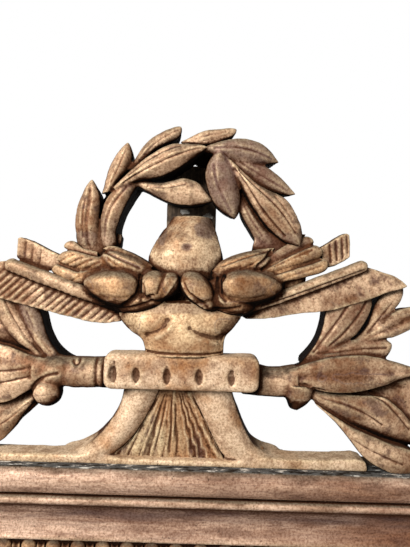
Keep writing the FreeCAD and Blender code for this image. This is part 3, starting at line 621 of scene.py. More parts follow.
# Mirror plate: a sheet of old silvered glass with ground arrises, its silver foxed towards the edges.
# The back is sealed with red-brown paint. It lies in the rebate against the sight lip.
silvering, g, given, result = group_of(
    "old_silver",
    {"Silver": (COLOUR, tone(206, 208, 204)), "Foxing": (COLOUR, tone(58, 50, 42))},
    LOOK,
)
spot_in = g.spot()
haze = g.noise(spot_in, 9.0, 5.0, 0.6)
spots = g.noise(spot_in, 150.0, 3.0, 0.7)
near_edge = g.mask("near_edge")
foxed = g.span(g.math("ADD", spots, g.math("MULTIPLY", near_edge, 0.28)), 0.66, 0.76)
colour = g.blend(g.span(haze, 0.45, 0.8, 0.0, 0.35), given["Silver"], tone(168, 166, 156))
g.put(result["Colour"], g.blend(foxed, colour, given["Foxing"]))
g.put(result["Rough"], g.span(g.math("ADD", foxed, g.math("MULTIPLY", haze, 0.3)), 0.1, 1.1, 0.02, 0.45))
g.put(result["Height"], haze)
old_silver = finish_of("old_silver", silvering, 0.0001, {"Metallic": 1.0})
painting, g, given, result = group_of(
    "backing_paint",
    {"Paint": (COLOUR, tone(104, 56, 42)), "Grime": (COLOUR, tone(52, 38, 32))},
    LOOK,
)
spot_in = g.spot()
drag = g.noise(spot_in, 60.0, 5.0, 0.6)
g.put(result["Colour"], g.blend(g.span(drag, 0.4, 0.7), given["Paint"], given["Grime"]))
g.put(result["Rough"], g.span(drag, 0.3, 0.7, 0.5, 0.8))
g.put(result["Height"], drag)
backing_paint = finish_of("backing_paint", painting, 0.0003, {})
glass_low, glass_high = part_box("mirror_plate")
arris = 0.8 * mm


def plate_mesh(name, low, high, arris, columns, rows):
    def spot(a, b, y, inset):
        return (low.x + inset + a * (high.x - low.x - 2 * inset), y,
                low.z + inset + b * (high.z - low.z - 2 * inset))

    levels = ((high.y, arris), (high.y - arris, 0), (low.y + arris, 0), (low.y, arris))
    points, faces, near = [], [], []
    rim = [(i / columns, 0) for i in range(columns)] + [(1, j / rows) for j in range(rows)]
    rim += [(1 - i / columns, 1) for i in range(columns)] + [(0, 1 - j / rows) for j in range(rows)]
    for y, inset in levels:
        for a, b in rim:
            points.append(spot(a, b, y, inset))
            near.append(1.0)
    count = len(rim)
    for level in range(3):
        for i in range(count):
            k = (i + 1) % count
            faces.append(
                (level * count + i, (level + 1) * count + i, (level + 1) * count + k, level * count + k))
    back_faces = len(faces)
    for level, flip in ((0, False), (3, True)):
        y, inset = levels[level]
        index = {}
        for i, (a, b) in enumerate(rim):
            index[round(a * columns), round(b * rows)] = level * count + i
        for j in range(1, rows):
            for i in range(1, columns):
                a, b = i / columns, j / rows
                index[i, j] = len(points)
                points.append(spot(a, b, y, inset))
                near.append(max(0.0, 1 - min(a, 1 - a, b, 1 - b) * 9))
        for j in range(rows):
            for i in range(columns):
                face = (index[i, j], index[i + 1, j], index[i + 1, j + 1], index[i, j + 1])
                faces.append(face[::-1] if not flip else face)
        if not flip:
            back_end = len(faces)
    mesh = mesh_of(name, points, faces)
    set_mask(mesh, "near_edge", np.array(near))
    index = np.zeros(len(faces), np.int32)
    index[back_faces:back_end] = 1
    mesh.polygons.foreach_set("material_index", index)
    return mesh


piece("old_mirror_glass", plate_mesh("mirror_glass", glass_low, glass_high, arris, 24, 40),
      [old_silver, backing_paint], "silvered_glass", "mirror", "mirror_plate")

# Glass blocks: short split softwood blocks glued in the rebate round the glass to hold it centred.
# They are chopped with a knife, so their faces are uneven.
dressed("glass_blocks", 0.5, 2, wood_across, "bare_softwood", rough=0.18)

# Backboards: three thin pine boards laid across the rebate behind the glass, rough planed and never finished.
# Shrinkage leaves an open line between them, and the plane has left shallow waves.


def plane_marks(crest, normals):
    return np.cos(crest[:, 2] / 3.4 + 0.6 * np.sin(crest[:, 0] / 31)) * 0.09 * (np.abs(normals[:, 1]) > 0.7)


for level in ("lower", "middle", "upper"):
    dressed("backboard_" + level, 1.25, 2, wood_across, "bare_softwood", detail=plane_marks, rough=0.1)

# Turn buttons: six small cut-brass buttons, each on one screw, that turn over the boards to keep them in.
# Filed round at the ends and dulled brown by handling.
brass, g, given, result = group_of(
    "dull_brass",
    {"Brass": (COLOUR, tone(176, 138, 72)), "Tarnish": (COLOUR, tone(92, 66, 38)),
     "Black": (COLOUR, tone(34, 26, 20))}, LOOK)
spot_in = g.spot()
bloom = g.noise(spot_in, 220.0, 5.0, 0.62)
scratch = g.noise(spot_in, 1500.0, 3.0, 0.6)
colour = g.blend(g.span(bloom, 0.36, 0.66), given["Brass"], given["Tarnish"])
colour = g.blend(g.math("MULTIPLY", g.mask("edge"), 0.6), colour, tone(222, 188, 118))
g.put(result["Colour"], g.blend(g.span(g.mask("hollow"), 0.15, 0.8), colour, given["Black"]))
g.put(result["Rough"], g.span(bloom, 0.3, 0.7, 0.3, 0.6))
g.put(result["Height"], scratch)
dull_brass = finish_of("dull_brass", brass, 0.00015, {"Metallic": 0.9})
for side in ("left", "right"):
    for level in ("lower", "middle", "upper"):
        button = f"turn_button_{side}_{level}"
        dressed(button, 0.3, 3, dull_brass, "old_brass", button, rough=0.04)

# Screws: hand-cut iron screws with slotted heads, through the buttons, the strap plates and the batten.
# They are dark with old rust.
iron, g, given, result = group_of(
    "dark_iron",
    {"Iron": (COLOUR, tone(74, 66, 60)), "Rust": (COLOUR, tone(96, 54, 34)),
     "Black": (COLOUR, tone(24, 20, 18))}, {**LOOK, "Metal": NUMBER})
spot_in = g.spot()
scale = g.noise(spot_in, 420.0, 5.0, 0.65)
rusty = g.span(scale, 0.48, 0.64)
colour = g.blend(rusty, given["Iron"], given["Rust"])
colour = g.blend(g.math("MULTIPLY", g.mask("edge"), 0.5), colour, tone(138, 128, 118))
g.put(result["Colour"], g.blend(g.span(g.mask("hollow"), 0.15, 0.8), colour, given["Black"]))
g.put(result["Rough"], g.span(scale, 0.3, 0.7, 0.45, 0.8))
g.put(result["Metal"], g.span(rusty, 0.0, 1.0, 0.85, 0.2))
g.put(result["Height"], scale)
dark_iron = finish_of("dark_iron", iron, 0.0002, {})


def slotted(node):
    points, pairs = points_and_pairs(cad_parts[node].data)
    lone = np.arange(len(points))
    for _ in range(60):
        np.minimum.at(lone, pairs[:, 0], lone[pairs[:, 1]])
        np.minimum.at(lone, pairs[:, 1], lone[pairs[:, 0]])
    heads = []
    for first in np.unique(lone):
        some = points[lone == first]
        heads.append((some[:, 0].mean() / mm, -some[:, 1].max() / mm, (some[:, 2].mean() - crest_foot) / mm))

    def cut(crest, normals):
        lift = np.zeros(len(crest))
        for i, (x, d, z) in enumerate(heads):
            t = 0.5 + 1.9 * i
            across = -(crest[:, 0] - x) * math.sin(t) + (crest[:, 2] - z) * math.cos(t)
            near = np.hypot(crest[:, 0] - x, crest[:, 2] - z) < 5
            top = crest[:, 1] < d + 0.45
            lift -= 0.7 * (np.abs(across) < 0.38) * near * top
        return lift

    return cut


dressed("turn_button_screws", 0.2, 1, dark_iron, "dark_iron", detail=slotted("turn_button_screws"), rough=0.02)

# Hangers: a brass strap plate screwed to each stile with a loose iron ring for the picture wire or hook.
# The ring swings in the folded eye of the strap.
for side in ("left", "right"):
    dressed(side + "_hanger_strap", 0.3, 2, dull_brass, "old_brass", rough=0.05)
    dressed(side + "_hanging_ring", 0.22, 5, dark_iron, "dark_iron", side + "_hanging_ring", rough=0.03)
dressed("hanger_screws", 0.2, 1, dark_iron, "dark_iron", detail=slotted("hanger_screws"), rough=0.02)

# Crest batten: a bare pine post let into the back of the top rail, which carries the whole crest.
# Its front shows between urn and wreath, darkened, with two chips of white gesso.
batten_dark, g, given, result = group_of(
    "smoked_wood",
    {"Dark": (COLOUR, tone(72, 58, 46)), "Light": (COLOUR, tone(136, 114, 92)),
     "Gesso": (COLOUR, tone(232, 226, 214))}, LOOK)
spot_in = g.spot()
fibre = g.noise(g.times(spot_in, (1.0, 1.0, 0.08)), 420.0, 4.0, 0.6)
blot = g.noise(spot_in, 170.0, 4.0, 0.6)
colour = g.blend(
    g.span(g.math("ADD", fibre, g.math("SUBTRACT", blot, 0.5)), 0.35, 0.72), given["Dark"], given["Light"])
colour = g.blend(g.mask("chip"), colour, given["Gesso"])
g.put(result["Colour"], colour)
g.put(result["Rough"], g.span(fibre, 0.3, 0.7, 0.65, 0.85))
g.put(result["Height"], g.math("ADD", fibre, blot))
smoked_wood = finish_of("smoked_wood", batten_dark, 0.0006, WOOD_SHADER)
batten = dressed("crest_batten", 0.6, 2, smoked_wood, "bare_softwood", rough=0.15)
points, _ = points_and_pairs(batten.data)
chips = np.zeros(len(points))
for x, z, across, up in ((-0.9, 144.6, 3.6, 1.9), (12, 142, 3.2, 2.4)):
    ragged = wobble(points, 2.2 * mm, 5) * 0.5
    chips = np.maximum(chips, np.hypot((points[:, 0] / mm - x) / across,
                                       ((points[:, 2] - crest_foot) / mm - z) / up) + ragged < 0.85)
set_mask(batten.data, "chip", chips * (points[:, 1] < -7 * mm))
dressed("batten_screws", 0.2, 1, dark_iron, "dark_iron", detail=slotted("batten_screws"), rough=0.02)

# Crest dowels: two beech pegs hidden between rail and plinth that keep the crest from sliding.
# Whittled a little proud and glued.
dressed("crest_dowels", 0.35, 2, wood_upright, "bare_softwood", rough=0.06)

# Crest plinth: two flaring legs on a thin foot strip, sawn out, rounded and glued to the rail on the dowels.
# Smooth and pale in front; the top of the foot is painted pale as painted light.


def spread(line, count):
    line = np.array(line, float)
    for _ in range(2):
        cut = np.empty((2 * len(line), line.shape[1]))
        cut[0], cut[-1] = line[0], line[-1]
        cut[1:-1:2] = line[:-1] * 0.75 + line[1:] * 0.25
        cut[2::2] = line[:-1] * 0.25 + line[1:] * 0.75
        line = cut
    steps = np.concatenate([[0], np.cumsum(np.linalg.norm(np.diff(line, axis=0), axis=1))])
    places = np.linspace(0, steps[-1], count)
    return np.stack([np.interp(places, steps, line[:, c]) for c in range(line.shape[1])], 1)


def leaf(self, one, other, ridge, crown=3.0, roof=0.0, groove=0.0, back=8.5, lean=0.0, wide=0.16, tint=0.0):
    rows, columns = 34, 18
    one, other = spread(one, rows + 1), spread(other, rows + 1)
    self.tints.append((np.vstack([one, other[::-1]]), max(ridge) - crown - roof - 2.5, tint))
    u, v = np.linspace(0, 1, rows + 1), np.linspace(-1, 1, columns + 1)
    middle, half = (one + other) / 2, (other - one) / 2
    flat = middle[:, None, :] + v[None, :, None] * half[:, None, :]
    full = np.clip(np.linalg.norm(half, axis=1) / 4.0, 0, 1)[:, None]
    top = np.interp(u, np.linspace(0, 1, len(ridge)), ridge)[:, None]
    a = np.abs(v)[None, :]
    depth = top - full * (crown * a**2.3 + roof * a + lean * v[None, :])
    depth = depth - full * groove * np.exp(-((v[None, :] / wide) ** 2)) - 2.0 * (1 - full)
    front = np.stack([flat[:, :, 0], depth, flat[:, :, 1]], 2).reshape(-1, 3)
    width = columns + 1
    faces = [(i * width + j, i * width + j + 1, (i + 1) * width + j + 1, (i + 1) * width + j)
             for i in range(rows) for j in range(columns)]
    rim = [i * width for i in range(rows + 1)] + [rows * width + j for j in range(1, width)]
    rim += [i * width + columns for i in range(rows - 1, -1, -1)] + [j for j in range(columns - 1, 0, -1)]
    under = front[rim].copy()
    centre = under.mean(0)
    under[:, [0, 2]] = centre[[0, 2]] + (under[:, [0, 2]] - centre[[0, 2]]) * 0.86
    under[:, 1] = back
    start, count = len(front), len(rim)
    faces += [(rim[i], start + i, start + (i + 1) % count, rim[(i + 1) % count]) for i in range(count)]
    faces.append(tuple(start + i for i in range(count - 1, -1, -1)))
    self.add(np.vstack([front, under]), faces)


def plain_leaf(self, base, tip, left, right, ridge, **form):
    base, tip = np.array(base, float), np.array(tip, float)
    side = np.array([base[1] - tip[1], tip[0] - base[0]])
    side /= np.linalg.norm(side)
    shape = ((0, 0.55), (0.15, 0.8), (0.38, 1.0), (0.62, 0.9), (0.82, 0.55), (0.95, 0.18), (1, 0))
    one = [base + (tip - base) * u + side * left * w for u, w in shape]
    other = [base + (tip - base) * u - side * right * w for u, w in shape]
    leaf(self, one, other, ridge, **form)


def egg(self, middle, half, tilt=0.0, point=0.0):
    rows, columns = 18, 28
    points = []
    for i in range(rows + 1):
        a = math.pi * i / rows
        along = -math.cos(a)
        size = max(math.sin(a), 0.02) * (1 - point * along)
        for j in range(columns):
            b = 2 * math.pi * j / columns
            points.append((along * half[0], size * half[1] * math.cos(b), size * half[2] * math.sin(b)))
    points = np.array(points)
    t = math.radians(tilt)
    x = points[:, 0] * math.cos(t) - points[:, 2] * math.sin(t)
    z = points[:, 0] * math.sin(t) + points[:, 2] * math.cos(t)
    self.add(np.stack([x, points[:, 1], z], 1) + np.array(middle, float), tube_faces(rows, columns))


def rod(self, path, radii):
    count = 10 * len(path)
    radii = np.interp(np.linspace(0, 1, count), np.linspace(0, 1, len(radii)), radii)
    path = spread(path, count)
    ways = np.gradient(path, axis=0)
    ways /= np.linalg.norm(ways, axis=1)[:, None]
    columns = 20
    points = []
    for spot, way, radius in zip(path, ways, radii):
        out = np.array([0.0, 1.0, 0.0]) - way * way[1]
        out /= np.linalg.norm(out)
        other = np.cross(way, out)
        turns = [2 * math.pi * j / columns for j in range(columns)]
        points += [spot + radius * (out * math.cos(b) + other * math.sin(b)) for b in turns]
    self.add(points, tube_faces(count - 1, columns))


def slab(self, outline, back, front):
    count = len(outline)
    points = [(x, back, z) for x, z in outline] + [(x, front, z) for x, z in outline]
    faces = [tuple(range(count)), tuple(range(2 * count - 1, count - 1, -1))]
    faces += [(i, (i + 1) % count, count + (i + 1) % count, count + i) for i in range(count)]
    self.add(points, faces)


Carving.leaf, Carving.plain_leaf, Carving.egg, Carving.rod, Carving.slab = leaf, plain_leaf, egg, rod, slab


def distance_to(crest, line):
    flat = crest[:, [0, 2]]
    line = spread(line, 5 * len(line))
    best = np.full(len(flat), 1e9)
    for a, b in zip(line[:-1], line[1:]):
        way = b - a
        t = np.clip(((flat - a) @ way) / max(way @ way, 1e-9), 0, 1)
        best = np.minimum(best, np.linalg.norm(flat - a - t[:, None] * way, axis=1))
    return best


def cuts(*lines):
    def lift(crest, normals):
        total = np.zeros(len(crest))
        for deep, wide, line in lines:
            total -= deep * np.exp(-((distance_to(crest, line) / wide) ** 2))
        return total * np.clip(-normals[:, 1] * 2, 0, 1)

    return lift


def inside(flat, outline):
    hit = np.zeros(len(flat), bool)
    for (ax, az), (bx, bz) in zip(outline, np.roll(outline, -1, 0)):
        if az != bz:
            between = (flat[:, 1] > min(az, bz)) & (flat[:, 1] <= max(az, bz))
            hit ^= between & (flat[:, 0] < ax + (flat[:, 1] - az) / (bz - az) * (bx - ax))
    return hit


# Tints per leaf and patch: positive tints make a spot paler, tints between -1 and 0 greyer, and tints below -1
# are painted shade, returned and added to the recess mask.
def tinted(mesh, shape, patches=()):
    points, pairs = points_and_pairs(mesh)
    flat = to_crest(points)[:, [0, 2]]
    tint = np.full(len(points), crest_base.get(mesh.name, 0.0))
    for outline, floor, value in shape.tints:
        tint[inside(flat, outline) & (-points[:, 1] / mm > floor)] = value
    ragged = wobble(points, 4 * mm, 7) * 0.35 + wobble(points, 1.6 * mm, 8) * 0.2
    for x, z, across, up, value in patches:
        reach = np.hypot((flat[:, 0] - x) / across, (flat[:, 1] - z) / up) + ragged
        tint = np.where(reach < 1, value, tint)
    tint = smoothed(tint[:, None], pairs, 3)[:, 0]
    set_mask(mesh, "pale", tint)
    set_mask(mesh, "grey", np.where(tint > -1, -tint, 0))
    return np.clip(-tint - 1, 0, 1)


crest_meshes, crest_shapes, crest_patches = {}, {}, {}


def set_out(name, shape, *work):
    crest_shapes[name], crest_meshes[name] = shape, shape.carved(name, *work)


plinth = Carving()
left_outer = [
    (-32.1, 43.5), (-33, 35.7), (-35.9, 28.6), (-41.5, 19.3), (-48.4, 11.3), (-54.7, 6.8), (-63.9, 2.6),
    (-72.9, 0.2)]
left_inner = [
    (-10.3, 44.1), (-12.4, 38.5), (-16.6, 29.4), (-22.9, 18.1), (-29.9, 9.5), (-37, 3.7), (-42, 1.3),
    (-66, 0.7)]
right_outer = [
    (28.7, 45.3), (29.4, 39.7), (32.4, 31.2), (36.9, 20.4), (41.8, 11.8), (50, 5.7), (60.4, 2.9), (63.4, 2.1)]
right_inner = [(4.2, 44.6), (6, 39), (9, 33.5), (13.1, 25.9), (17.3, 17), (21.4, 9.4), (25.5, 3.9), (30, 2.1)]
for outer, inner in ((left_outer, left_inner), (right_outer, right_inner)):
    plinth.slab(outer + inner[::-1], 8.3, 27)
    plinth.leaf(outer, inner, (33.5, 34, 34, 33.5), crown=5.5, back=8.3)
plinth.slab(
    [(-109, -0.6), (-109, 4.2), (-75, 4.2), (-50, 5), (-30, 3), (32, 3), (45, 6), (60, 5.2), (85, 5.4),
     (100, 6.4), (105, 5), (106, -0.6)], 17.0, 33.6)
set_out("crest_plinth", plinth, 0.65, 9, None, 11, 0.2)

# Crest apron: a thin panel between the legs, worked with fanned gouge flutes from the band down to the rail.
# The flutes are worn and hold dark glaze, and the sunk panel is painted darker as shade between the legs.


def flutes(apex, step, deep):
    def lift(crest, normals):
        across, down = crest[:, 0] - apex[0], apex[1] - crest[:, 2]
        turn = np.arctan2(across, down) + 0.012 * np.sin(down * 0.35 + across)
        fade = np.clip((down - 12) / 8, 0, 1) * (0.65 + 0.35 * np.sin(turn * 23 + 1))
        return -deep * np.abs(np.cos(math.pi * turn / step)) * fade * np.clip(-normals[:, 1] * 2, 0, 1)

    return lift


def both(*lifts):
    return lambda crest, normals: sum(lift(crest, normals) for lift in lifts)


apron = Carving()
apron.slab(
    [(-12.9, 44.3), (7.4, 44.9), (10.6, 33.1), (15.5, 22.5), (20.3, 12.4), (25.7, 2.1), (-42.2, 1.5),
     (-32.2, 7.5), (-24.6, 17.3), (-18.1, 28.9)], 8.3, 28.6)
set_out(
    "crest_apron", apron, 0.5, 2,
    both(
        flutes((-4.8, 53.6), 0.088, 1.3),
        cuts(
            (-1.0, 0.9, [(-3.7, 40), (-3.8, 21.4), (-4.3, 2.1)]),
            (-1.8, 1.4, [(4.8, 39.2), (9, 30.2), (14.4, 19.1), (21, 6.8), (24.5, 2.9)]))), 12, 0.5)

# Binding band: a block carved as the ribbon that ties the stems, nicked with a gouge along its front.
# It is glued over the stems and the plinth.
band = Carving()
band.node("binding_band")
set_out(
    "binding_band", band, 0.55, 5,
    cuts(
        (0.9, 0.7, [(-43.4, 61.6), (-43.2, 52.4), (-42.8, 41.5)]),
        (0.5, 0.8, [(-36.3, 58), (-36.1, 52.6), (-35.8, 43.9)])), 13, 0.25)

# Bowl and urn: a shallow bowl with two gouged folds and the pear-shaped urn above it, half turned.
# Both are glued to the batten behind them; the gesso is pale and crackled.
bowl = Carving()
bowl.leaf(
    [(-36.5, 91.6), (-36.9, 87.2), (-35.7, 82.3), (-32.8, 78.6), (-28.3, 74.3), (-23.3, 71.2), (-21, 68),
     (-20.3, 60.9)],
    [(33, 93.7), (33.7, 89.3), (32.8, 84.4), (30.7, 81), (27.5, 76.5), (24.3, 73.2), (23.4, 69.3),
     (23.6, 62.2)], (37, 41, 43, 43, 42), crown=9, back=8.2)
set_out(
    "bowl", bowl, 0.6, 6,
    cuts(
        (1.7, 2.3, [(-8.1, 81.7), (-10.2, 78.4), (-13.9, 75.5), (-19.3, 73.2)]),
        (1.4, 2.3, [(4.5, 77.7), (10.1, 74.6), (16.6, 72.6), (24.3, 71.8)]),
        (-0.7, 1.6, [(-5.3, 79.1), (-8.5, 75.2), (-13.3, 72.3)]),
        (-0.7, 1.6, [(4.6, 74.5), (11.2, 71.4), (18.9, 69.4)]), (-1.6, 6.0, [(-28.3, 83.3), (-21.7, 79.7)]),
        (-1.6, 6.0, [(27.2, 85.5), (21.8, 81.5)]), (1.3, 0.8, [(-21.7, 63.3), (24.5, 63.6)])), 14, 0.25)
urn = Carving()
urn.node("urn")
urn.leaf(
    [(-8.2, 140.9), (-10.4, 136.9), (-13.5, 130.7), (-17.8, 123.8), (-20.7, 117), (-21.4, 110.8), (-17.7, 102)],
    [(14.7, 141), (17.1, 135.5), (19, 128.3), (20.9, 121), (21.7, 114.3), (20.7, 108.7), (15.9, 101.8)],
    (24, 29, 34, 36.5, 36, 34), crown=9.0, back=12)
set_out("urn", urn, 0.6, 7, cuts(
    (0.5, 1.8, [(0.9, 121.9), (2, 121.9)])), 15, 0.3)

# Arrows: two fletched shafts laid behind the doves, the vanes scored with a small gouge.
# Each is sawn from a thin board and glued on behind.


def barbs(first, last, way, count, deep):
    first, last = np.array(first, float), np.array(last, float)
    way = np.array(way, float) / np.linalg.norm(way)
    line = last - first
    length = np.linalg.norm(line)

    def lift(crest, normals):
        slope = np.array([line / length, way]).T
        along, down = np.linalg.solve(slope, (crest[:, [0, 2]] - first).T)
        wave = np.cos(2 * math.pi * along / length * count + 0.8 * np.sin(along * 0.21))
        inside = np.clip(down - 1.0, 0, 1) * np.clip(length + 8 - along, 0, 1)
        return deep * wave * inside * np.clip(-normals[:, 1] * 2 - 0.4, 0, 1)

    return lift


left_arrow = Carving()
left_arrow.slab(
    [(-95.2, 124.5), (-93.5, 125.4), (-87.8, 123.6), (-79.1, 119.3), (-73.4, 116.7), (-69.4, 114.5),
     (-70.4, 109.4), (-76.5, 106.4), (-81.6, 107.7), (-87.3, 109.5), (-93.1, 111.6), (-95.4, 113.8)], 20, 28.5)
left_arrow.slab(
    [(-96, 112), (-116, 110), (-122, 104), (-111, 92), (-96, 88), (-82, 85), (-68, 81.5), (-53, 78.4),
     (-44, 77.8), (-35, 79), (-33, 88)], 20, 29.5)
left_arrow.rod([(-96.6, 31, 109), (-62, 31, 97), (-30, 31, 86)], [4.0, 4.2, 3.4])
left_arrow.egg((-96.6, 31, 109), (4.2, 4.0, 4.0))
set_out(
    "left_arrow", left_arrow, 0.55, 2,
    both(
        barbs((-34, 85), (-114, 113), (-1, -0.9), 21, 0.3),
        cuts(
            (0.4, 0.7, [(-90, 122.4), (-90.8, 112.2)]), (0.4, 0.7, [(-86, 120.8), (-86.8, 110.6)]),
            (0.4, 0.7, [(-81.4, 118.7), (-82.2, 109.1)]))), 16, 0.25)
right_arrow = Carving()
right_arrow.slab(
    [(76.4, 124), (83.1, 128.1), (88.7, 131.7), (91.5, 132.9), (93.2, 131.8), (93.9, 126.2), (93.6, 119.4),
     (90.8, 117), (85.2, 114), (80.2, 112.7), (77.7, 118.3)], 20, 28.5)
right_arrow.slab(
    [(102.4, 114.5), (110.4, 111.9), (119, 109.4), (123.5, 106.7), (126.7, 103.7), (124.2, 102.5),
     (116.4, 100.3), (108, 96.6), (96.9, 92.7), (85.7, 89.2), (76.2, 87.6), (68.8, 86.8), (60.4, 85.3),
     (52, 83.7), (40.8, 82.6), (35.7, 82.6), (29.9, 86.4), (37.7, 91.7), (65.5, 103.3)], 20, 29.5)
right_arrow.rod([(99.5, 31, 114), (62, 31, 98.5), (29, 31, 86)], [3.4, 3.6, 3.2])
right_arrow.egg((99.5, 31, 114), (3.8, 3.4, 3.4))
set_out(
    "right_arrow", right_arrow, 0.55, 2,
    both(
        barbs((34, 86), (114, 119), (0.75, -1), 17, 0.14),
        cuts(
            (0.7, 0.8, [(82, 126.4), (82.9, 116.2)]), (0.7, 0.8, [(85.4, 128.2), (86.3, 117.5)]),
            (0.7, 0.8, [(88.7, 130), (89.6, 118.7)]), (0.6, 0.7, [(91.5, 131.2), (92.4, 119.9)]),
            (1.0, 0.8, [(100.3, 111.6), (90.8, 108), (76.8, 102.5), (60.1, 95.8), (44.5, 90.2)]))), 17, 0.25)

# Doves: two birds breast to breast over the bowl, each carved with near wing, far wing, head and fanned tail.
# They are the boldest relief of the crest, undercut and glued over the arrows and the urn.
left_dove = Carving()
left_dove.egg((-32.4, 27, 97.4), (25, 17, 12.2), -14)
left_dove.egg((-23.6, 32, 92.8), (17, 11.5, 8.6), 12)
left_dove.egg((-45.9, 26, 105.6), (15, 8, 7), -8)
left_dove.egg((-29.9, 31, 109.5), (18, 9, 7.4), -22)
left_dove.egg((-56.2, 25, 97.8), (12, 6, 4.5), -20)
left_dove.egg((-38.9, 38, 98.7), (15.8, 10, 9.4), -8, -0.34)
left_dove.egg((-15.4, 38, 99.9), (8.8, 10, 8.6), -20)
left_dove.egg((-8.8, 38, 100.7), (8.2, 9.5, 6.6), 35)
# The far wing's two leaves get tints below -1: painted shade behind the near wing.
left_dove.leaf(
    [(-16.6, 110.9), (-21.6, 114.1), (-27.3, 117.2), (-32.9, 119.7), (-38.5, 121.3), (-43.5, 121.5),
     (-47, 119.4)],
    [(-19.8, 108.6), (-25.4, 110.7), (-31, 113), (-36.6, 115.3), (-41.2, 117.7), (-44.5, 118.7), (-47, 119.4)],
    (37, 36, 33), crown=2.5, tint=-1.14)
left_dove.leaf(
    [(-19.9, 108.6), (-25.6, 110.4), (-31.2, 112.7), (-36.8, 115.1), (-41.3, 117.4), (-44.1, 118.5),
     (-46.9, 117.5)],
    [(-22.1, 105.8), (-29.9, 106.1), (-35.4, 106.5), (-39.9, 107.2), (-42.8, 109.6), (-45.7, 113.4),
     (-46.9, 117.5)], (36, 34.5, 32), crown=2.2, lean=0.8, tint=-1.1)
left_dove.leaf(
    [(-42.6, 115.8), (-49.8, 115), (-55.5, 116.5), (-61.1, 118), (-66.7, 118.4), (-70.5, 116.6),
     (-72.4, 113.2)],
    [(-42.4, 109.1), (-49.1, 107.7), (-55.2, 107), (-60.8, 107.7), (-66.4, 109.5), (-70.9, 111.3),
     (-72.4, 113.2)], (36, 33.5, 31.5), crown=2.0)
left_dove.leaf(
    [(-41.3, 110.2), (-49.1, 108), (-55.2, 107), (-60.8, 107.7), (-66.4, 109.5), (-71.5, 111.3), (-74.2, 109.2),
     (-75.3, 107)],
    [(-43.2, 100.1), (-51, 98.8), (-56.6, 99.4), (-63.4, 100.5), (-69, 102.1), (-73.2, 104.2), (-75.3, 107)],
    (38, 35, 31.5), crown=2.6)
left_dove.leaf(
    [(-48.9, 117.9), (-56.8, 119.4), (-59.7, 121.3), (-62.6, 123.7), (-65.4, 124.3), (-68.2, 123),
     (-69.3, 120.7)],
    [(-48.8, 114.5), (-56.2, 116.3), (-61.3, 117.8), (-65.8, 118.3), (-68.4, 119.3), (-69.3, 120.7)],
    (32, 31, 29.5), crown=2.2, tint=-0.5)
set_out(
    "left_dove", left_dove, 0.55, 2,
    cuts(
        (1.5, 0.9, [(-23.3, 105.2), (-22.8, 98.8), (-24.3, 94.5), (-26.9, 91.7), (-31.1, 89.4)]),
        (-0.9, 2.6, [(-51.1, 100.2), (-43.7, 103), (-33.2, 104.4), (-24.6, 102)]),
        (0.6, 1.6, [(-43.5, 93.5), (-35.5, 92.1), (-26.5, 94)]),
        (1.1, 0.9, [(-18.5, 93.7), (-17, 94.8), (-15.4, 94.9)]),
        (0.8, 0.8, [(-21.3, 101), (-20.1, 97.3), (-21, 94)]),
        (0.9, 0.8, [(-10, 106.7), (-11.4, 101.3), (-12.9, 96)]),
        (-0.5, 0.7, [(-3.5, 104.2), (-6.1, 99.4), (-10.1, 93.9)]),
        (0.9, 0.8, [(-46.7, 118.9), (-41.1, 116.8), (-32.7, 112.9), (-24.3, 109.6)]),
        (0.9, 0.8, [(-72.1, 111.5), (-65.8, 109.2), (-59.1, 107.2)]),
        (0.5, 0.7, [(-69.3, 112.2), (-62.7, 116.3)]), (0.5, 0.7, [(-65.3, 110.6), (-57.1, 114.8)]),
        (0.5, 0.7, [(-60.8, 109.1), (-51.5, 113.8)]), (0.5, 0.7, [(-56.3, 107.5), (-47, 112.3)]),
        (0.5, 0.7, [(-62.3, 101.2), (-55.7, 105.3), (-46.8, 107.8)]),
        (0.5, 0.8, [(-42.4, 114.6), (-36.7, 110.3), (-28.8, 107.8)]),
        (0.8, 0.9, [(-38.2, 87.9), (-31.1, 87), (-23, 88.9), (-16.6, 91.8)])), 18, 0.22)
right_dove = Carving()
right_dove.egg((32.6, 27, 99.4), (25, 17, 12.2), 12)
right_dove.egg((25.1, 32, 92.6), (16, 11.5, 8.0), -10)
right_dove.egg((46.7, 26, 107.8), (14, 8, 7), 12)
right_dove.egg((31.4, 31, 111.8), (18, 9, 7.4), 20)
right_dove.egg((58.5, 25, 102.4), (12, 6, 4.5), 20)
right_dove.egg((37.2, 38, 101), (17.4, 10, 9.2), 0, 0.34)
right_dove.egg((7.7, 38, 99), (11.4, 10, 7.8), -40)
right_dove.egg((11.7, 36, 93), (9.5, 9, 5.0), -32)
# The far wing's first leaf gets a tint below -1: painted shade behind the near wing.
right_dove.leaf(
    [(15.1, 109.1), (18.3, 113.1), (23.2, 116.3), (30.8, 119.5), (39.1, 121.7), (45.7, 122.7), (51.2, 123.5)],
    [(19, 107), (25.6, 108.3), (33.9, 109.6), (40.5, 111.5), (44.8, 114.7), (48, 118.9), (51.2, 123.5)],
    (37, 36, 32), crown=2.8, tint=-1.08)
right_dove.leaf(
    [(40.5, 111.6), (47, 118.5), (53.7, 122.9), (60.9, 127.7), (68.1, 131), (72.1, 129.1)],
    [(42.8, 108.8), (51.1, 115.3), (59.4, 119.7), (67.7, 123.9), (73.9, 126.4), (72.1, 129.1)], (34, 31.5, 30),
    crown=1.8, tint=-0.5)
right_dove.leaf(
    [(40.3, 109.3), (49.1, 114.9), (58, 119.3), (66.2, 123.5), (72.9, 126.2), (76.9, 123.8)],
    [(42.7, 106), (53.7, 110.8), (63.2, 113.6), (70.4, 115.8), (75.9, 118.2), (78.4, 120.8), (76.9, 123.8)],
    (37, 33.5, 32), crown=2.2)
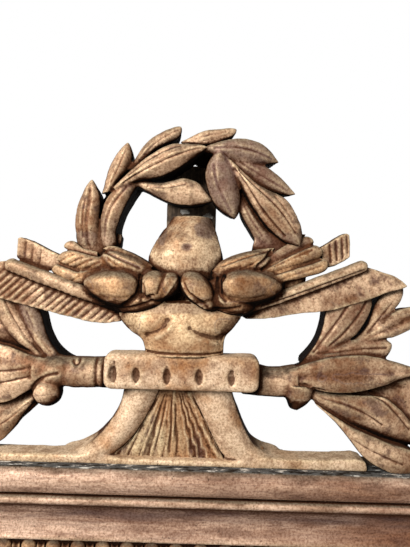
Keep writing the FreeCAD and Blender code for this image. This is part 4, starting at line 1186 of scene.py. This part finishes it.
right_dove.leaf(
    [(42.6, 106), (53.6, 110.8), (63, 113.3), (71.3, 115.8), (77.4, 118.5), (80.8, 116.6)],
    [(47.1, 101.7), (56.6, 104.2), (64.9, 106.1), (73.2, 108.3), (79.8, 111), (81.7, 113.9), (80.8, 116.6)],
    (38, 35, 31.5), crown=2.4)
set_out(
    "right_dove", right_dove, 0.55, 2,
    cuts(
        (1.5, 0.9, [(22, 106), (19.8, 101.7), (19.9, 96.8), (23, 93.2)]),
        (0.7, 0.9, [(5.2, 96), (9.6, 92.4), (13.9, 90.4)]),
        (0.8, 0.8, [(0.8, 101.7), (3.1, 97), (8, 92.3), (12.9, 89.3)]),
        (-0.6, 0.7, [(-0.4, 102.1), (2.5, 96.3), (7.4, 91.7), (12.4, 88.6)]),
        (-0.6, 2.4, [(22, 102.3), (30.4, 106.8), (42, 107.2), (52.8, 103.2)]),
        (0.6, 1.6, [(25.4, 95), (35, 93.7), (45.5, 96.1)]),
        (1.6, 1.1, [(49.7, 122.4), (46.5, 117.8), (41.1, 112.6)]),
        (0.6, 0.7, [(21.1, 112), (30.9, 116.2), (40.8, 119.3), (47.4, 121.1)]),
        (0.5, 0.6, [(25.6, 109.9), (31.1, 112.3)]), (0.5, 0.6, [(31.1, 110.7), (37.7, 113.6)]),
        (0.5, 0.6, [(36.6, 113), (42, 116.5)]),
        (0.8, 0.8, [(43.6, 110.5), (56.3, 118.2), (66.2, 123.2), (72.9, 125.9)]),
        (0.6, 0.8, [(50.7, 112.9), (61.7, 118.3), (71.1, 122.5)]),
        (0.9, 0.8, [(50.9, 108.5), (64.7, 113.4), (76.8, 117.6)]),
        (0.5, 0.7, [(54.8, 105.8), (64.8, 109.5), (76.9, 113.7)]),
        (0.8, 0.9, [(17.3, 88.4), (23.8, 88.1), (31.4, 89.9)])), 19, 0.22)

# Wreath: two laurel branches of plump leaves laid one over the next, meeting in front of the batten's head.
# Each branch is pierced and carved in one piece, its leaf sides cut back deep and painted dark as shade.
wreath_left = Carving()
wreath_left.rod(
    [(-51, 17, 101), (-49, 17, 125), (-46, 17, 142), (-33, 17, 161), (-12, 17, 172)], [7.5, 7, 7, 7])
wreath_left.leaf(
    [(-63.2, 128), (-61.9, 121.2), (-58.3, 116.1), (-53, 111.1)],
    [(-36.3, 128.8), (-36.7, 121.9), (-38.8, 116.1), (-42.6, 110.3)], (27, 27, 28, 29), crown=1.5, tint=-0.6)
wreath_left.leaf(
    [(-57.7, 112), (-61.9, 120.9), (-63.1, 132.7), (-62.6, 141.2), (-60.5, 148.6), (-57.9, 154.9),
     (-55.4, 158.6), (-54.1, 159.8)],
    [(-47.6, 112.3), (-48.4, 121.3), (-49.6, 133.1), (-48.7, 141.1), (-48.7, 146.7), (-49.9, 152.3),
     (-51.4, 156.2), (-54.1, 159.8)], (20, 28, 31, 31, 30.5, 29), crown=3.4, groove=1.5, wide=0.2)
wreath_left.leaf(
    [(-47.9, 110), (-48.8, 121.3), (-48.5, 132.5), (-47.9, 140.4), (-46.1, 146.6), (-42.4, 152.4), (-38, 156.2),
     (-33, 158.3), (-26.3, 158.3)],
    [(-40, 110.3), (-38.1, 121.6), (-39.4, 129.4), (-37.9, 135.1), (-35.3, 142.5), (-32.2, 148.7),
     (-29.2, 153.9), (-26.3, 158.3)], (22, 29, 33, 33, 33, 31), crown=3.2)
wreath_left.leaf(
    [(-48.6, 151), (-46.6, 160.1), (-45.6, 164.7), (-44, 169.3), (-40.8, 175.1), (-37.5, 179.7),
     (-34.4, 181.8)],
    [(-42.4, 152.3), (-36.9, 160.4), (-33.4, 165.6), (-31.8, 170.8), (-31.4, 175.4), (-32.4, 179),
     (-34.4, 181.8)], (30, 29.5, 28), crown=3, roof=1.0)
wreath_left.leaf(
    [(-33.8, 165.3), (-29, 174.5), (-25.7, 180), (-20.7, 185), (-15.1, 188.6), (-9.5, 191.5), (-5, 192.4),
     (-3.8, 191.2)],
    [(-28.1, 163.2), (-20.4, 174.8), (-14.8, 178.9), (-9.2, 182.5), (-5.3, 185.5), (-3.4, 188.4),
     (-3.8, 191.2)], (29, 28.5, 27), crown=2.6, roof=0.8)
wreath_left.leaf(
    [(-41.9, 154.2), (-36.5, 159.3), (-32.2, 163.8), (-27.4, 167.8), (-22, 171.8), (-16.1, 175.8),
     (-10.7, 178.5), (-5.2, 179.8), (1.4, 179.6), (6.9, 178.9), (11.4, 177.5)],
    [(-39.1, 152.6), (-28.2, 158.1), (-20, 159.2), (-12.9, 160.9), (-6.4, 164.4), (-0.5, 168.4), (4.4, 171.9),
     (8.2, 174.9), (11.4, 177.5)], (34, 37.5, 39, 38.5), crown=3.0, roof=1.6, tint=0.45)
wreath_left.leaf(
    [(-31.9, 159.4), (-25.1, 158.8), (-19.5, 158.4), (-13.9, 158.3), (-9.4, 159.5), (-5, 160.8), (-1, 161.2),
     (2.9, 160.5), (6.9, 158.9), (11, 155.1), (15.6, 148.5)],
    [(-30.7, 156.7), (-25.6, 154.8), (-21.6, 152.4), (-16.4, 149.8), (-11.3, 147.7), (-6.2, 146.1),
     (-0.6, 145.5), (5.6, 145.9), (10.6, 146.8), (15.6, 148.5)], (31, 33, 33, 30), crown=3.2, roof=0.8,
    tint=0.8)
set_out(
    "wreath_left_branch", wreath_left, 0.55, 3,
    cuts(
        (0.9, 0.8, [(-35.2, 156.4), (-22.8, 163.9), (-12, 169.7), (-1.1, 173.8), (7, 176.3)]),
        (0.6, 0.7, [(-32, 161.9), (-22.9, 168.8), (-13.8, 174.5), (-4, 177.9)]),
        (0.5, 0.7, [(-42.5, 158), (-38.3, 167.8), (-34.6, 177.5)]),
        (0.6, 0.7, [(-26, 172.3), (-18.9, 181.1), (-10.5, 186.5), (-6, 188.9)]),
        (0.6, 0.9, [(-45.4, 126.9), (-44.5, 137), (-40.3, 146.1), (-33.8, 154.1)]),
        (0.5, 0.7, [(-21.6, 155.6), (-12, 154.8), (-0.9, 157.4)]),
        (0.7, 0.9, [(-57.9, 126.6), (-58.3, 138.4), (-56.9, 148)])), 20, 0.25)
wreath_right = Carving()
wreath_right.rod([(6, 17, 178), (22, 17, 173), (38, 17, 158), (49, 17, 139), (54, 17, 120)], [7, 7, 7, 7])
wreath_right.leaf(
    [(-4.7, 182.4), (2, 186), (6.5, 188.7), (12.2, 190.3), (17.9, 190.9), (23.6, 191.6), (27.6, 191.4)],
    [(-1.2, 177.9), (6.8, 179.8), (12.5, 180.9), (17, 182.1), (21.5, 184.3), (25.5, 186.5), (27.6, 189),
     (27.6, 191.4)], (28, 27.5, 26.5), crown=2.0)
wreath_right.leaf(
    [(8.6, 177.8), (12.4, 180.2), (16.3, 181.4), (21.3, 183.1), (26.3, 184.1), (31.9, 184.2), (37.6, 183.3),
     (42.7, 181.2), (46.7, 178.2), (49.6, 174.9), (52.2, 171.8)],
    [(9.8, 175.1), (13.7, 175.2), (19.3, 174.2), (25, 172.7), (31.2, 171.2), (37.4, 170.4), (43, 170.4),
     (47.5, 170.7), (52.2, 171.8)], (33, 34.5, 33.5, 30), crown=3.0, tint=-0.95)
wreath_right.leaf(
    [(21.1, 175.5), (29.7, 173.2), (36.5, 171.8), (42.2, 170.2), (46.8, 168.4), (51.4, 165.1), (56.1, 160.7),
     (59.6, 157.4), (62.8, 154.3)],
    [(21.2, 173.3), (28.1, 167.8), (34.5, 162.9), (40.3, 158.6), (46, 155.6), (52.3, 153.8), (57.5, 152.8),
     (62.8, 154.3)], (32, 31, 28), crown=2.4, tint=-0.7)
wreath_right.leaf(
    [(18.1, 175.7), (23.7, 172.2), (28.3, 168.2), (34.6, 162.6), (40.2, 158.3), (46.4, 154.9), (52.6, 152.9),
     (56.5, 150.8), (60, 146.2), (62.9, 140.7), (65.6, 135), (66.6, 129.5), (64.5, 124.4)],
    [(18.7, 174), (22.7, 170.3), (25.6, 165.4), (28.5, 159.9), (31.5, 154.5), (35, 149), (39, 143),
     (43.6, 137.1), (48.2, 132.2), (53.3, 128.2), (58.4, 125.1), (64.5, 124.4)], (34, 37, 36.5, 34), crown=3.4,
    roof=1.0)
wreath_right.leaf(
    [(15.4, 175.5), (11.6, 170.4), (10.1, 165.3), (10.2, 160.9), (11.2, 155.9), (13.3, 150.6), (16.2, 146.3),
     (19.7, 143), (23.7, 140.1), (27.6, 138.5)],
    [(20.9, 175.7), (24.4, 170.8), (27.4, 164.2), (29.5, 157.5), (30.6, 151.4), (30.6, 145.3), (29.6, 141.1),
     (27.6, 138.5)], (34, 36, 34.5, 31), crown=3.8, tint=-0.95)
wreath_right.leaf(
    [(28, 155.5), (29.9, 147.6), (30.9, 142.3), (33.6, 137.5), (36.6, 132.8), (39, 128.6), (41.4, 125.2),
     (47.1, 123.7)],
    [(31.9, 156.8), (35, 148.4), (39.2, 142.5), (43.3, 136.9), (47.4, 132.2), (52.1, 128.7), (53.9, 125.6),
     (47.1, 123.7)], (29, 30, 29, 28), crown=2.8, tint=-0.5)
wreath_right.leaf(
    [(68.9, 131.9), (65.6, 124.9), (57.8, 117.8), (47.7, 113)],
    [(40.9, 131.1), (38.7, 125.9), (37.7, 120.7), (39.6, 115)], (28, 28, 29, 30), crown=1.0, tint=-0.7)
set_out(
    "wreath_right_branch", wreath_right, 0.55, 3,
    cuts(
        (0.9, 0.8, [(26.6, 166.3), (33.5, 156.6), (39.9, 146.8), (47.9, 137.1), (55.3, 129.6)]),
        (0.7, 0.7, [(29.4, 165.8), (38.5, 156.7), (47.6, 148.7), (55, 140.6), (61.3, 132)]),
        (0.5, 0.8, [(49.7, 151.5), (56.6, 142.9), (61.8, 134.2)]),
        (0.6, 0.8, [(15.3, 177.8), (24.8, 178.6), (36, 177.3), (47.3, 173.1)]),
        (0.5, 0.7, [(29.7, 170.7), (39, 165.3), (48.2, 160.5), (57.4, 155.7)]),
        (0.5, 0.9, [(14.5, 168), (16.4, 158.6), (21.1, 148.8), (25.2, 142.2)]),
        (0.5, 0.7, [(4.4, 184.3), (12.3, 186.9), (21.4, 188.9)]),
        (0.4, 0.7, [(6.7, 182.1), (15.8, 184.7), (23.7, 187.8)]),
        (0.5, 0.7, [(32.8, 146.6), (37.6, 137.6), (43.5, 129.9)])), 21, 0.25)

# Laurel sprays: a stem out of each end of the band with a cut twig below and a fan of long leaves outwards.
# Each is pierced and carved in one piece and lies on the rail, the lowest right leaf over the plinth's toe.
left_spray = Carving()
left_spray.rod([(-36, 23, 49.5), (-60, 23, 48.5), (-78, 23, 50)], [9.2, 9.0, 8.6])
left_spray.egg((-76, 26, 37.8), (8.6, 8.4, 8.2))
left_spray.egg((-72, 25, 49.1), (11, 8.5, 8.2), 10)
left_spray.leaf(
    [(-57.2, 51.3), (-64.1, 53.7), (-68.8, 56.7), (-73.6, 61.7), (-77.2, 67.3), (-79.6, 73.6), (-81.3, 80.4),
     (-84.1, 88.4), (-89.5, 95.1), (-98.8, 98.3)],
    [(-69.7, 48.6), (-78, 55.8), (-83.3, 61.4), (-88.1, 69.3), (-92.4, 76.7), (-96, 84), (-99.1, 90.8),
     (-98.8, 98.3)], (25, 27, 27, 26), crown=2.6, roof=1.2, tint=-0.9)
left_spray.leaf(
    [(-70.6, 51.1), (-77.7, 56.9), (-83, 61.9), (-87.8, 69.7), (-92, 77.1), (-96.9, 85.8), (-101.6, 91.4),
     (-108.6, 94.6)],
    [(-76.3, 48.6), (-85.2, 58.9), (-92.8, 63.3), (-98.6, 67.7), (-103.4, 74.7), (-106.5, 81.5), (-108.9, 87.7),
     (-108.6, 94.6)], (27, 28, 27, 26), crown=2.4, roof=0.6, tint=0.3)
left_spray.leaf(
    [(-61.4, 53.4), (-76.6, 56.6), (-85.1, 58.6), (-92, 60.9), (-98.8, 63.6), (-110.6, 65.5), (-124.6, 63.3),
     (-136.8, 57.4), (-147.8, 48.6)],
    [(-63.3, 41), (-74.6, 42.9), (-82.4, 40.4), (-90.1, 35.7), (-96.7, 31.8), (-106.8, 29.6), (-120.9, 31.4),
     (-135.1, 37.7), (-147.8, 48.6)], (31, 33, 31, 28), crown=3.2)
left_spray.leaf(
    [(-79.1, 38.5), (-88.6, 33.6), (-95.9, 28.6), (-102.6, 24.4), (-113.8, 18), (-127.9, 10.8), (-143.2, 8.1)],
    [(-77.9, 35.1), (-84, 31.5), (-87.9, 26.2), (-91.7, 20.4), (-94.9, 14.9), (-102.1, 7.6), (-116.2, 0.3),
     (-130.4, -0.7), (-143.2, 8.1)], (28, 29.5, 28, 25), crown=2.8, roof=0.8)
for row in (((-83, 38), (-140, 1), 11.5, 6.1, (25, 26, 25)), ((-76, 55), (-136, 90), 9.0, 10.4, (22, 24, 25)),
            ((-100, 48), (-158, 33), 7.8, 7.8, (21, 22, 22)), ((-118, 51), (-165, 47), 6.1, 8.0, (24, 23, 21)),
            ((-112, 30), (-156, 5), 6.1, 6.1, (21, 21, 21))):
    left_spray.plain_leaf(*row, crown=2.6, roof=1.0)
set_out(
    "left_laurel_spray", left_spray, 0.6, 3,
    cuts(
        (1.3, 0.9, [(-84, 38.1), (-81.9, 42.7), (-78, 46.2), (-73.6, 48.6), (-69.1, 49.3)]),
        (0.9, 0.8, [(-61.5, 56.2), (-59.7, 54), (-57.5, 55.2), (-58.1, 58)]),
        (0.7, 0.8, [(-84.8, 52), (-95.3, 50), (-112.1, 48.9), (-134.4, 48.8)]),
        (0.7, 0.8, [(-84.7, 47), (-95.2, 44.4), (-109, 41.2)]), (0.6, 0.8, [(-84.8, 53.1), (-84.6, 45.8)]),
        (1.0, 1.0, [(-48.3, 59.3), (-48, 49.7), (-47.7, 40.1)]),
        (0.5, 0.8, [(-75.2, 60.3), (-83.5, 70.3), (-89.5, 82.6)]),
        (0.6, 0.8, [(-80.6, 60.3), (-89.3, 67.9), (-97, 79.1), (-101.8, 88)]),
        (0.6, 0.8, [(-86.5, 30.5), (-96.5, 22.3), (-107.6, 15.1)])), 22, 0.25)
right_spray = Carving()
right_spray.rod([(36, 23, 48.5), (52, 23, 46), (66, 23, 47.5)], [9.6, 8.6, 9.4])
right_spray.rod([(67, 25, 45.8), (66.7, 25, 38.3), (64.6, 25, 31.4)], [9.6, 8.2, 2.6])
right_spray.leaf(
    [(66.5, 56.3), (71, 61), (74.8, 66), (77.8, 70.9), (79.9, 77.3), (81.2, 83), (81.6, 89.9), (83.7, 95.7),
     (92.2, 99.4)],
    [(77.9, 57.8), (87.4, 66.6), (96.4, 72.3), (100.6, 75.6), (104.4, 81.7), (107.6, 88.7), (109.2, 94.2),
     (106.5, 98.1), (92.2, 99.4)], (26, 28, 28, 27), crown=2.2, roof=0.8, tint=-0.25)
right_spray.leaf(
    [(93.4, 68.4), (101.3, 73.2), (105.1, 78.8), (107.8, 84.6), (109.4, 90.4), (110.9, 95.3), (117, 102.4),
     (126.2, 105)],
    [(97.4, 66.2), (105.3, 72.2), (112, 78.1), (117.6, 84.6), (121.4, 89.6), (124.8, 94), (127.5, 99.3),
     (126.2, 105)], (25, 26, 26, 25), crown=2.4)
right_spray.leaf(
    [(96.8, 68.8), (107.9, 77.1), (115.1, 84.2), (121.3, 89.2), (126.9, 91.1), (134.8, 92.7), (146.3, 89.6)],
    [(98, 66.5), (108.1, 72.5), (115.5, 73.6), (120.6, 73.8), (126.2, 76.5), (131.8, 79.8), (139.7, 84),
     (146.3, 89.6)], (26, 28.5, 28, 26), crown=2.0, groove=1.6, wide=0.34)
right_spray.leaf(
    [(70.7, 56.8), (78.5, 62.7), (85.2, 66.9), (92.5, 70.5), (100.9, 72.6), (109.4, 73.8), (116.8, 73.5),
     (120.7, 70.8)],
    [(71.9, 53.4), (84.3, 58.3), (95.6, 60.4), (107, 60.7), (116.1, 60.4), (119.1, 63.9), (121.1, 67.9),
     (120.7, 70.8)], (29, 29, 27, 26), crown=2.4, tint=-0.15)
right_spray.leaf(
    [(58.8, 53.8), (67.6, 56.9), (73.2, 59.3), (80.4, 61.6), (88.8, 63.1), (97.1, 63.9), (105.5, 63.9),
     (114, 62.7), (122.4, 60.5), (130.9, 58.2), (140.5, 55.1)],
    [(59, 44.9), (68, 45.7), (73.6, 44.2), (81, 42.5), (92.2, 42.3), (103.3, 43.8), (114.4, 46.9),
     (122.8, 50.2), (131.1, 52.6), (140.5, 55.1)], (31, 34, 33, 28), crown=3.0, groove=1.5, wide=0.42)
right_spray.leaf(
    [(67.7, 43.6), (76.2, 42.7), (84.8, 41.3), (96.2, 40.5), (107.5, 40.8), (116.7, 40), (124.8, 34.5),
     (133.6, 25.1), (145.3, 13)],
    [(70.1, 39.7), (79.3, 34.9), (88.6, 28.3), (96.7, 24), (105.3, 20.6), (113.9, 17.2), (122.5, 14.6),
     (132.2, 12.6), (145.3, 13)], (28, 30, 29, 26), crown=2.4, roof=0.6)
right_spray.leaf(
    [(101.1, 41.7), (114.9, 44.4), (123.4, 47.6), (132.1, 49), (143.8, 44.2), (152.8, 32.9)],
    [(107, 37.3), (118.6, 34.7), (125.8, 28), (132.9, 20.1), (141.7, 18.6), (152.8, 32.9)], (23, 24, 23),
    crown=2.0)
right_spray.leaf(
    [(75.1, 37.1), (82.7, 32.2), (89.1, 28.1), (97.3, 23.7), (106, 20.3), (114.6, 16.8), (123.3, 14.2),
     (133.1, 11.3), (144.8, 3.7)],
    [(75.7, 36), (82.8, 29.9), (89.2, 24.6), (94.6, 17.6), (99.3, 11.5), (105.2, 5.9), (114, 1), (123.8, -1.5),
     (135.2, -1.2), (144.8, 3.7)], (31, 36.5, 37.5, 33), crown=2.4)
for row in (((94, 47), (154, 25), 10.9, 8.3, (21, 22, 22)), ((118, 50), (165, 41), 6.2, 6.2, (24, 23, 21)),
            ((112, 30), (158, 4), 6.3, 6.3, (21, 21, 21))):
    right_spray.plain_leaf(*row, crown=2.6, roof=1.0)
set_out(
    "right_laurel_spray", right_spray, 0.6, 3,
    cuts(
        (0.8, 0.8, [(75, 64.9), (82.7, 75.3), (90.8, 86.9), (94.6, 93.9)]),
        (0.8, 0.8, [(84, 68.5), (93.9, 77.9), (101.6, 88.4), (104.3, 94.1)]),
        (0.6, 0.8, [(106, 76.9), (112.6, 85.1), (119.2, 93.3)]),
        (0.9, 1.0, [(69.8, 46.7), (73.2, 44.6), (80.5, 43.4)]),
        (0.6, 0.8, [(80.1, 39.1), (93.2, 36.1), (104.7, 31.4), (114.5, 24.9)]),
        (0.6, 0.8, [(77.1, 64), (89.5, 65.5), (103.6, 67.6), (116.6, 68)]),
        (0.8, 0.8, [(108.3, 42.2), (116.4, 37.9), (123.4, 30.8), (130.4, 22.5)]),
        (0.6, 0.8, [(97.2, 17.5), (108.7, 11.5), (123.2, 5.7)])), 23, 0.25)

# Painted shade, dust and rubbing on the carving; the shade comes from how deep each spot lies under its
# neighbours over the whole crest.
# Deep spots, leaf sides and faces turned from the front are painted nearly black as shade and upward faces kept
# lighter as painted light; small hollows hold brown glaze, edges are rubbed to the pale gold.
cell = 0.8 * mm
low_x, low_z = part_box("left_laurel_spray")[0].x - 20 * mm, crest_foot - 20 * mm
map_shape = (int((cad_box[1].z + 20 * mm - low_z) / cell) + 1,
             int((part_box("right_laurel_spray")[1].x + 20 * mm - low_x) / cell) + 1)
heights = np.zeros(map_shape)


def cells_of(points):
    return ((points[:, 2] - low_z) / cell).astype(int), ((points[:, 0] - low_x) / cell).astype(int)


for mesh in crest_meshes.values():
    points, _ = points_and_pairs(mesh)
    np.maximum.at(heights, cells_of(points), -points[:, 1])


def raised(values, rounds):
    for _ in range(rounds):
        for axis in (0, 1):
            values = np.maximum(values, np.maximum(np.roll(values, 1, axis), np.roll(values, -1, axis)))
    return values


def blurred(values, reach):
    spread_cells = np.arange(-int(3 * reach / cell), int(3 * reach / cell) + 1)
    share = np.exp(-0.5 * (spread_cells * cell / reach) ** 2)
    share /= share.sum()
    for axis in (0, 1):
        values = np.apply_along_axis(lambda line: np.convolve(line, share, "same"), axis, values)
    return values


# Patches below -1 are painted shade: under the doves' breasts and chins, in their creases, on the right of the
# left head, between the heads at the urn's foot, under the beaks and at both ends of the bowl, and under spray
# leaves.
# The -0.5 band along the bowl's top is painted shade under the doves; the other patches near -0.6 to -0.9 make
# the urn and wreath greyer.
crest_patches["urn"] = [(-13.6, 128.6, 3.2, 6, -0.9), (11.6, 133.3, 6, 7, -0.9), (0.9, 121.9, 2.6, 2.2, -0.9),
                        (-2.2, 95.9, 5, 8, -1.6)]
crest_patches["bowl"] = [(-2.1, 90.9, 8, 4.0, -1.4), (-30.4, 79.6, 7, 6, -1.24), (27.6, 78.5, 9, 6, -1.26),
                         (-1.4, 87.6, 26, 2.6, -0.5)]
crest_base = {"left_arrow": -0.8, "right_dove": -0.1, "left_dove": -0.1}
crest_patches["left_dove"] = [
    (-25.7, 88.3, 22, 3.8, -1.32), (-22.5, 97.7, 1.8, 8, -1.4), (-17, 94.3, 1.6, 1.0, -1.5),
    (-6.6, 100.9, 3.5, 5, -1.2), (-50.7, 99.6, 3, 3, -1.2)]
crest_patches["right_dove"] = [
    (29.2, 89.9, 17, 3.6, -1.34), (9, 92.9, 7, 2.0, -1.28), (18.6, 97.8, 2.0, 8, -1.4),
    (51.4, 100.9, 5, 4, -1.25)]
crest_patches["right_laurel_spray"] = [(106.7, 51, 26, 2.8, -1.3), (122.2, 83.3, 10, 4.5, -1.3),
                                       (68, 34.5, 9, 4.5, -1.4)]
crest_patches["left_laurel_spray"] = [(-74.6, 34.2, 8, 4, -1.4)]
crest_patches["wreath_left_branch"] = [(-41.3, 129.4, 8, 7, -0.6), (-55.9, 126.2, 7, 4, -0.7)]
sunk_share = {
    "left_dove": 0.8, "right_dove": 0.8, "bowl": 0.35, "urn": 0.5, "crest_plinth": 0.25, "crest_apron": 0.5}
near_map, far_map = blurred(raised(heights, 3), 1.2 * mm), blurred(raised(heights, 2), 6.0 * mm)
finishes = {
    "urn": gilt("urn_gilt", Wear=0.3, Dusting=0.5, Paleness=0.04, Crackle=0.3, Pale_gold=tone(240, 208, 168)),
    "bowl": gilt("bowl_gilt", Wear=0.15, Dusting=0.6, Paleness=0.06, Pale_gold=tone(240, 204, 158)),
    # The plinth's pale dust colour paints its upward faces light as painted light.
    "crest_plinth": gilt("plinth_gilt", Wear=0.25, Dusting=0.5, Paleness=0.09, Bronze=tone(190, 136, 90),
                         Dust=tone(226, 200, 164)),
}
# The band's pale dust colour likewise paints its top light as painted light.
finishes["binding_band"] = gilt(
    "band_gilt", Wear=0.3, Dusting=0.4, Paleness=0.07, Bronze=tone(180, 126, 82), Dust=tone(226, 200, 164))
finishes["crest_apron"] = gilt(
    "apron_gilt", Wear=0.9, Dusting=0.3, Paleness=-0.06, Pale_gold=tone(222, 196, 154),
    Stretch=(1.0, 1.0, 0.35))
dove_gilt = gilt("dove_gilt", Wear=0.6, Dusting=0.9, Bronze=tone(126, 82, 50), Pale_gold=tone(216, 170, 124))
finishes["left_dove"] = finishes["right_dove"] = dove_gilt
carved_gilt = gilt(
    "carved_gilt", Wear=0.8, Dusting=0.9, Bronze=tone(142, 100, 71), Pale_gold=tone(233, 195, 158))
for name, mesh in crest_meshes.items():
    points, pairs = points_and_pairs(mesh)
    normals = normals_of(mesh, points)
    wear_masks(mesh, 0.3, 1.6)
    spots = cells_of(points)
    near, far = near_map[spots] + points[:, 1], far_map[spots] + points[:, 1]
    # Painted shade on leaf sides (sideways), on spots sunk under their neighbours (sunk) and on faces turned
    # from the front and down (turned); upward faces are spared as painted light (lit_top).
    sideways = np.clip(0.62 + normals[:, 1], 0, 0.6) * 1.5 * np.clip(near / (5 * mm), 0, 1)
    sunk = np.maximum((near - 1.6 * mm) / (8 * mm), far / (11 * mm)) * sunk_share.get(name, 1.0)
    dark = tinted(mesh, crest_shapes[name], crest_patches.get(name, ()))
    turned = np.clip((0.92 + normals[:, 1]) / 0.7, 0, 1) * (0.35 + 0.16 * np.clip(0.3 - normals[:, 2], 0, 1))
    lit_top = np.clip(normals[:, 2] * 1.3 - 0.2, 0, 1) * (
        0.97 if name in ("crest_plinth", "binding_band") else 0.75)
    set_mask(mesh, "recess_shade", (sunk + sideways + turned) * (1 - lit_top) + dark)
    set_mask(mesh, "behind", (normals[:, 1] - 0.2) * 4)
    piece(name + "_carved", mesh, [finishes.get(name, carved_gilt)], "gilt_limewood", "mirror", name)

# Floor, light and camera: a plain pale floor, a large soft lamp left of the camera and a weak one to the right.
# The white room shows behind the crest and in the glass.
turns = np.linspace(0, 2 * math.pi, 72, endpoint=False)
floor_round = 1.3
floor = mesh_of("floor", [(floor_round * math.cos(t), floor_round * math.sin(t), frame_foot) for t in turns],
                [tuple(range(72))])
floor_object = bpy.data.objects.new("floor", floor)
bpy.context.scene.collection.objects.link(floor_object)
flooring, g, given, result = group_of(
    "pale_floor", {"Pale": (COLOUR, tone(250, 250, 250))}, {"Colour": COLOUR, "Rough": NUMBER})
cloud = g.noise(g.spot(), 3.0)
g.put(result["Colour"], g.blend(cloud, tone(242, 242, 242), given["Pale"]))
g.put(result["Rough"], g.span(cloud, 0.3, 0.7, 0.75, 0.85))
floor.materials.append(finish_of("pale_floor", flooring, 0.0001, {}))

world = bpy.data.worlds.new("white_room")
world.use_nodes = True
bpy.context.scene.world = world
n = Nodes(world.node_tree)
sky = world.node_tree.nodes["Background"]
rays = n.add("ShaderNodeLightPath").outputs
seen = n.math(
    "MAXIMUM", n.math("MAXIMUM", rays["Is Camera Ray"], rays["Is Glossy Ray"]), rays["Is Transmission Ray"])
room_fill = 0.10
sky.inputs["Color"].default_value = (1, 1, 1, 1)
n.put(sky.inputs["Strength"], n.span(seen, 0.0, 1.0, room_fill, 1.0))


def lamp(name, energy, size, where, aim):
    light = bpy.data.lights.new(name, "AREA")
    light.energy, light.size = energy, size
    made = bpy.data.objects.new(name, light)
    way = np.array(aim, float) - np.array(where, float)
    heading = math.atan2(-way[0], way[1])
    rise = math.atan2(way[2], math.hypot(way[0], way[1]))
    made.matrix_world = (Matrix.Translation(where) @ Matrix.Rotation(heading, 4, "Z")
                         @ Matrix.Rotation(math.pi / 2 + rise, 4, "X"))
    bpy.context.scene.collection.objects.link(made)


crest_middle = (0, 0, crest_foot + 0.05)
lamp("key_lamp", energy=9.0, size=0.36, where=(-0.42, -0.62, crest_foot + 0.42), aim=crest_middle)
lamp("side_lamp", energy=0.7, size=0.5, where=(0.6, -0.7, crest_foot + 0.1), aim=crest_middle)

camera_wide, camera_roll = math.radians(57.35), math.radians(1.7)
camera_aside, camera_out, camera_up = 11.8 * mm, 312 * mm, 107.6 * mm
camera = bpy.data.cameras.new("camera")
camera.sensor_width = 36.0
camera.lens = camera.sensor_width / 2 / math.tan(camera_wide / 2)
camera.clip_start = 0.01
camera_object = bpy.data.objects.new("camera", camera)
camera_object.matrix_world = (Matrix.Translation((camera_aside, -camera_out, crest_foot + camera_up))
                              @ Matrix.Rotation(math.pi / 2, 4, "X") @ Matrix.Rotation(camera_roll, 4, "Z"))
bpy.context.scene.collection.objects.link(camera_object)
bpy.context.scene.camera = camera_object
bpy.context.scene.view_settings.view_transform = "Standard"
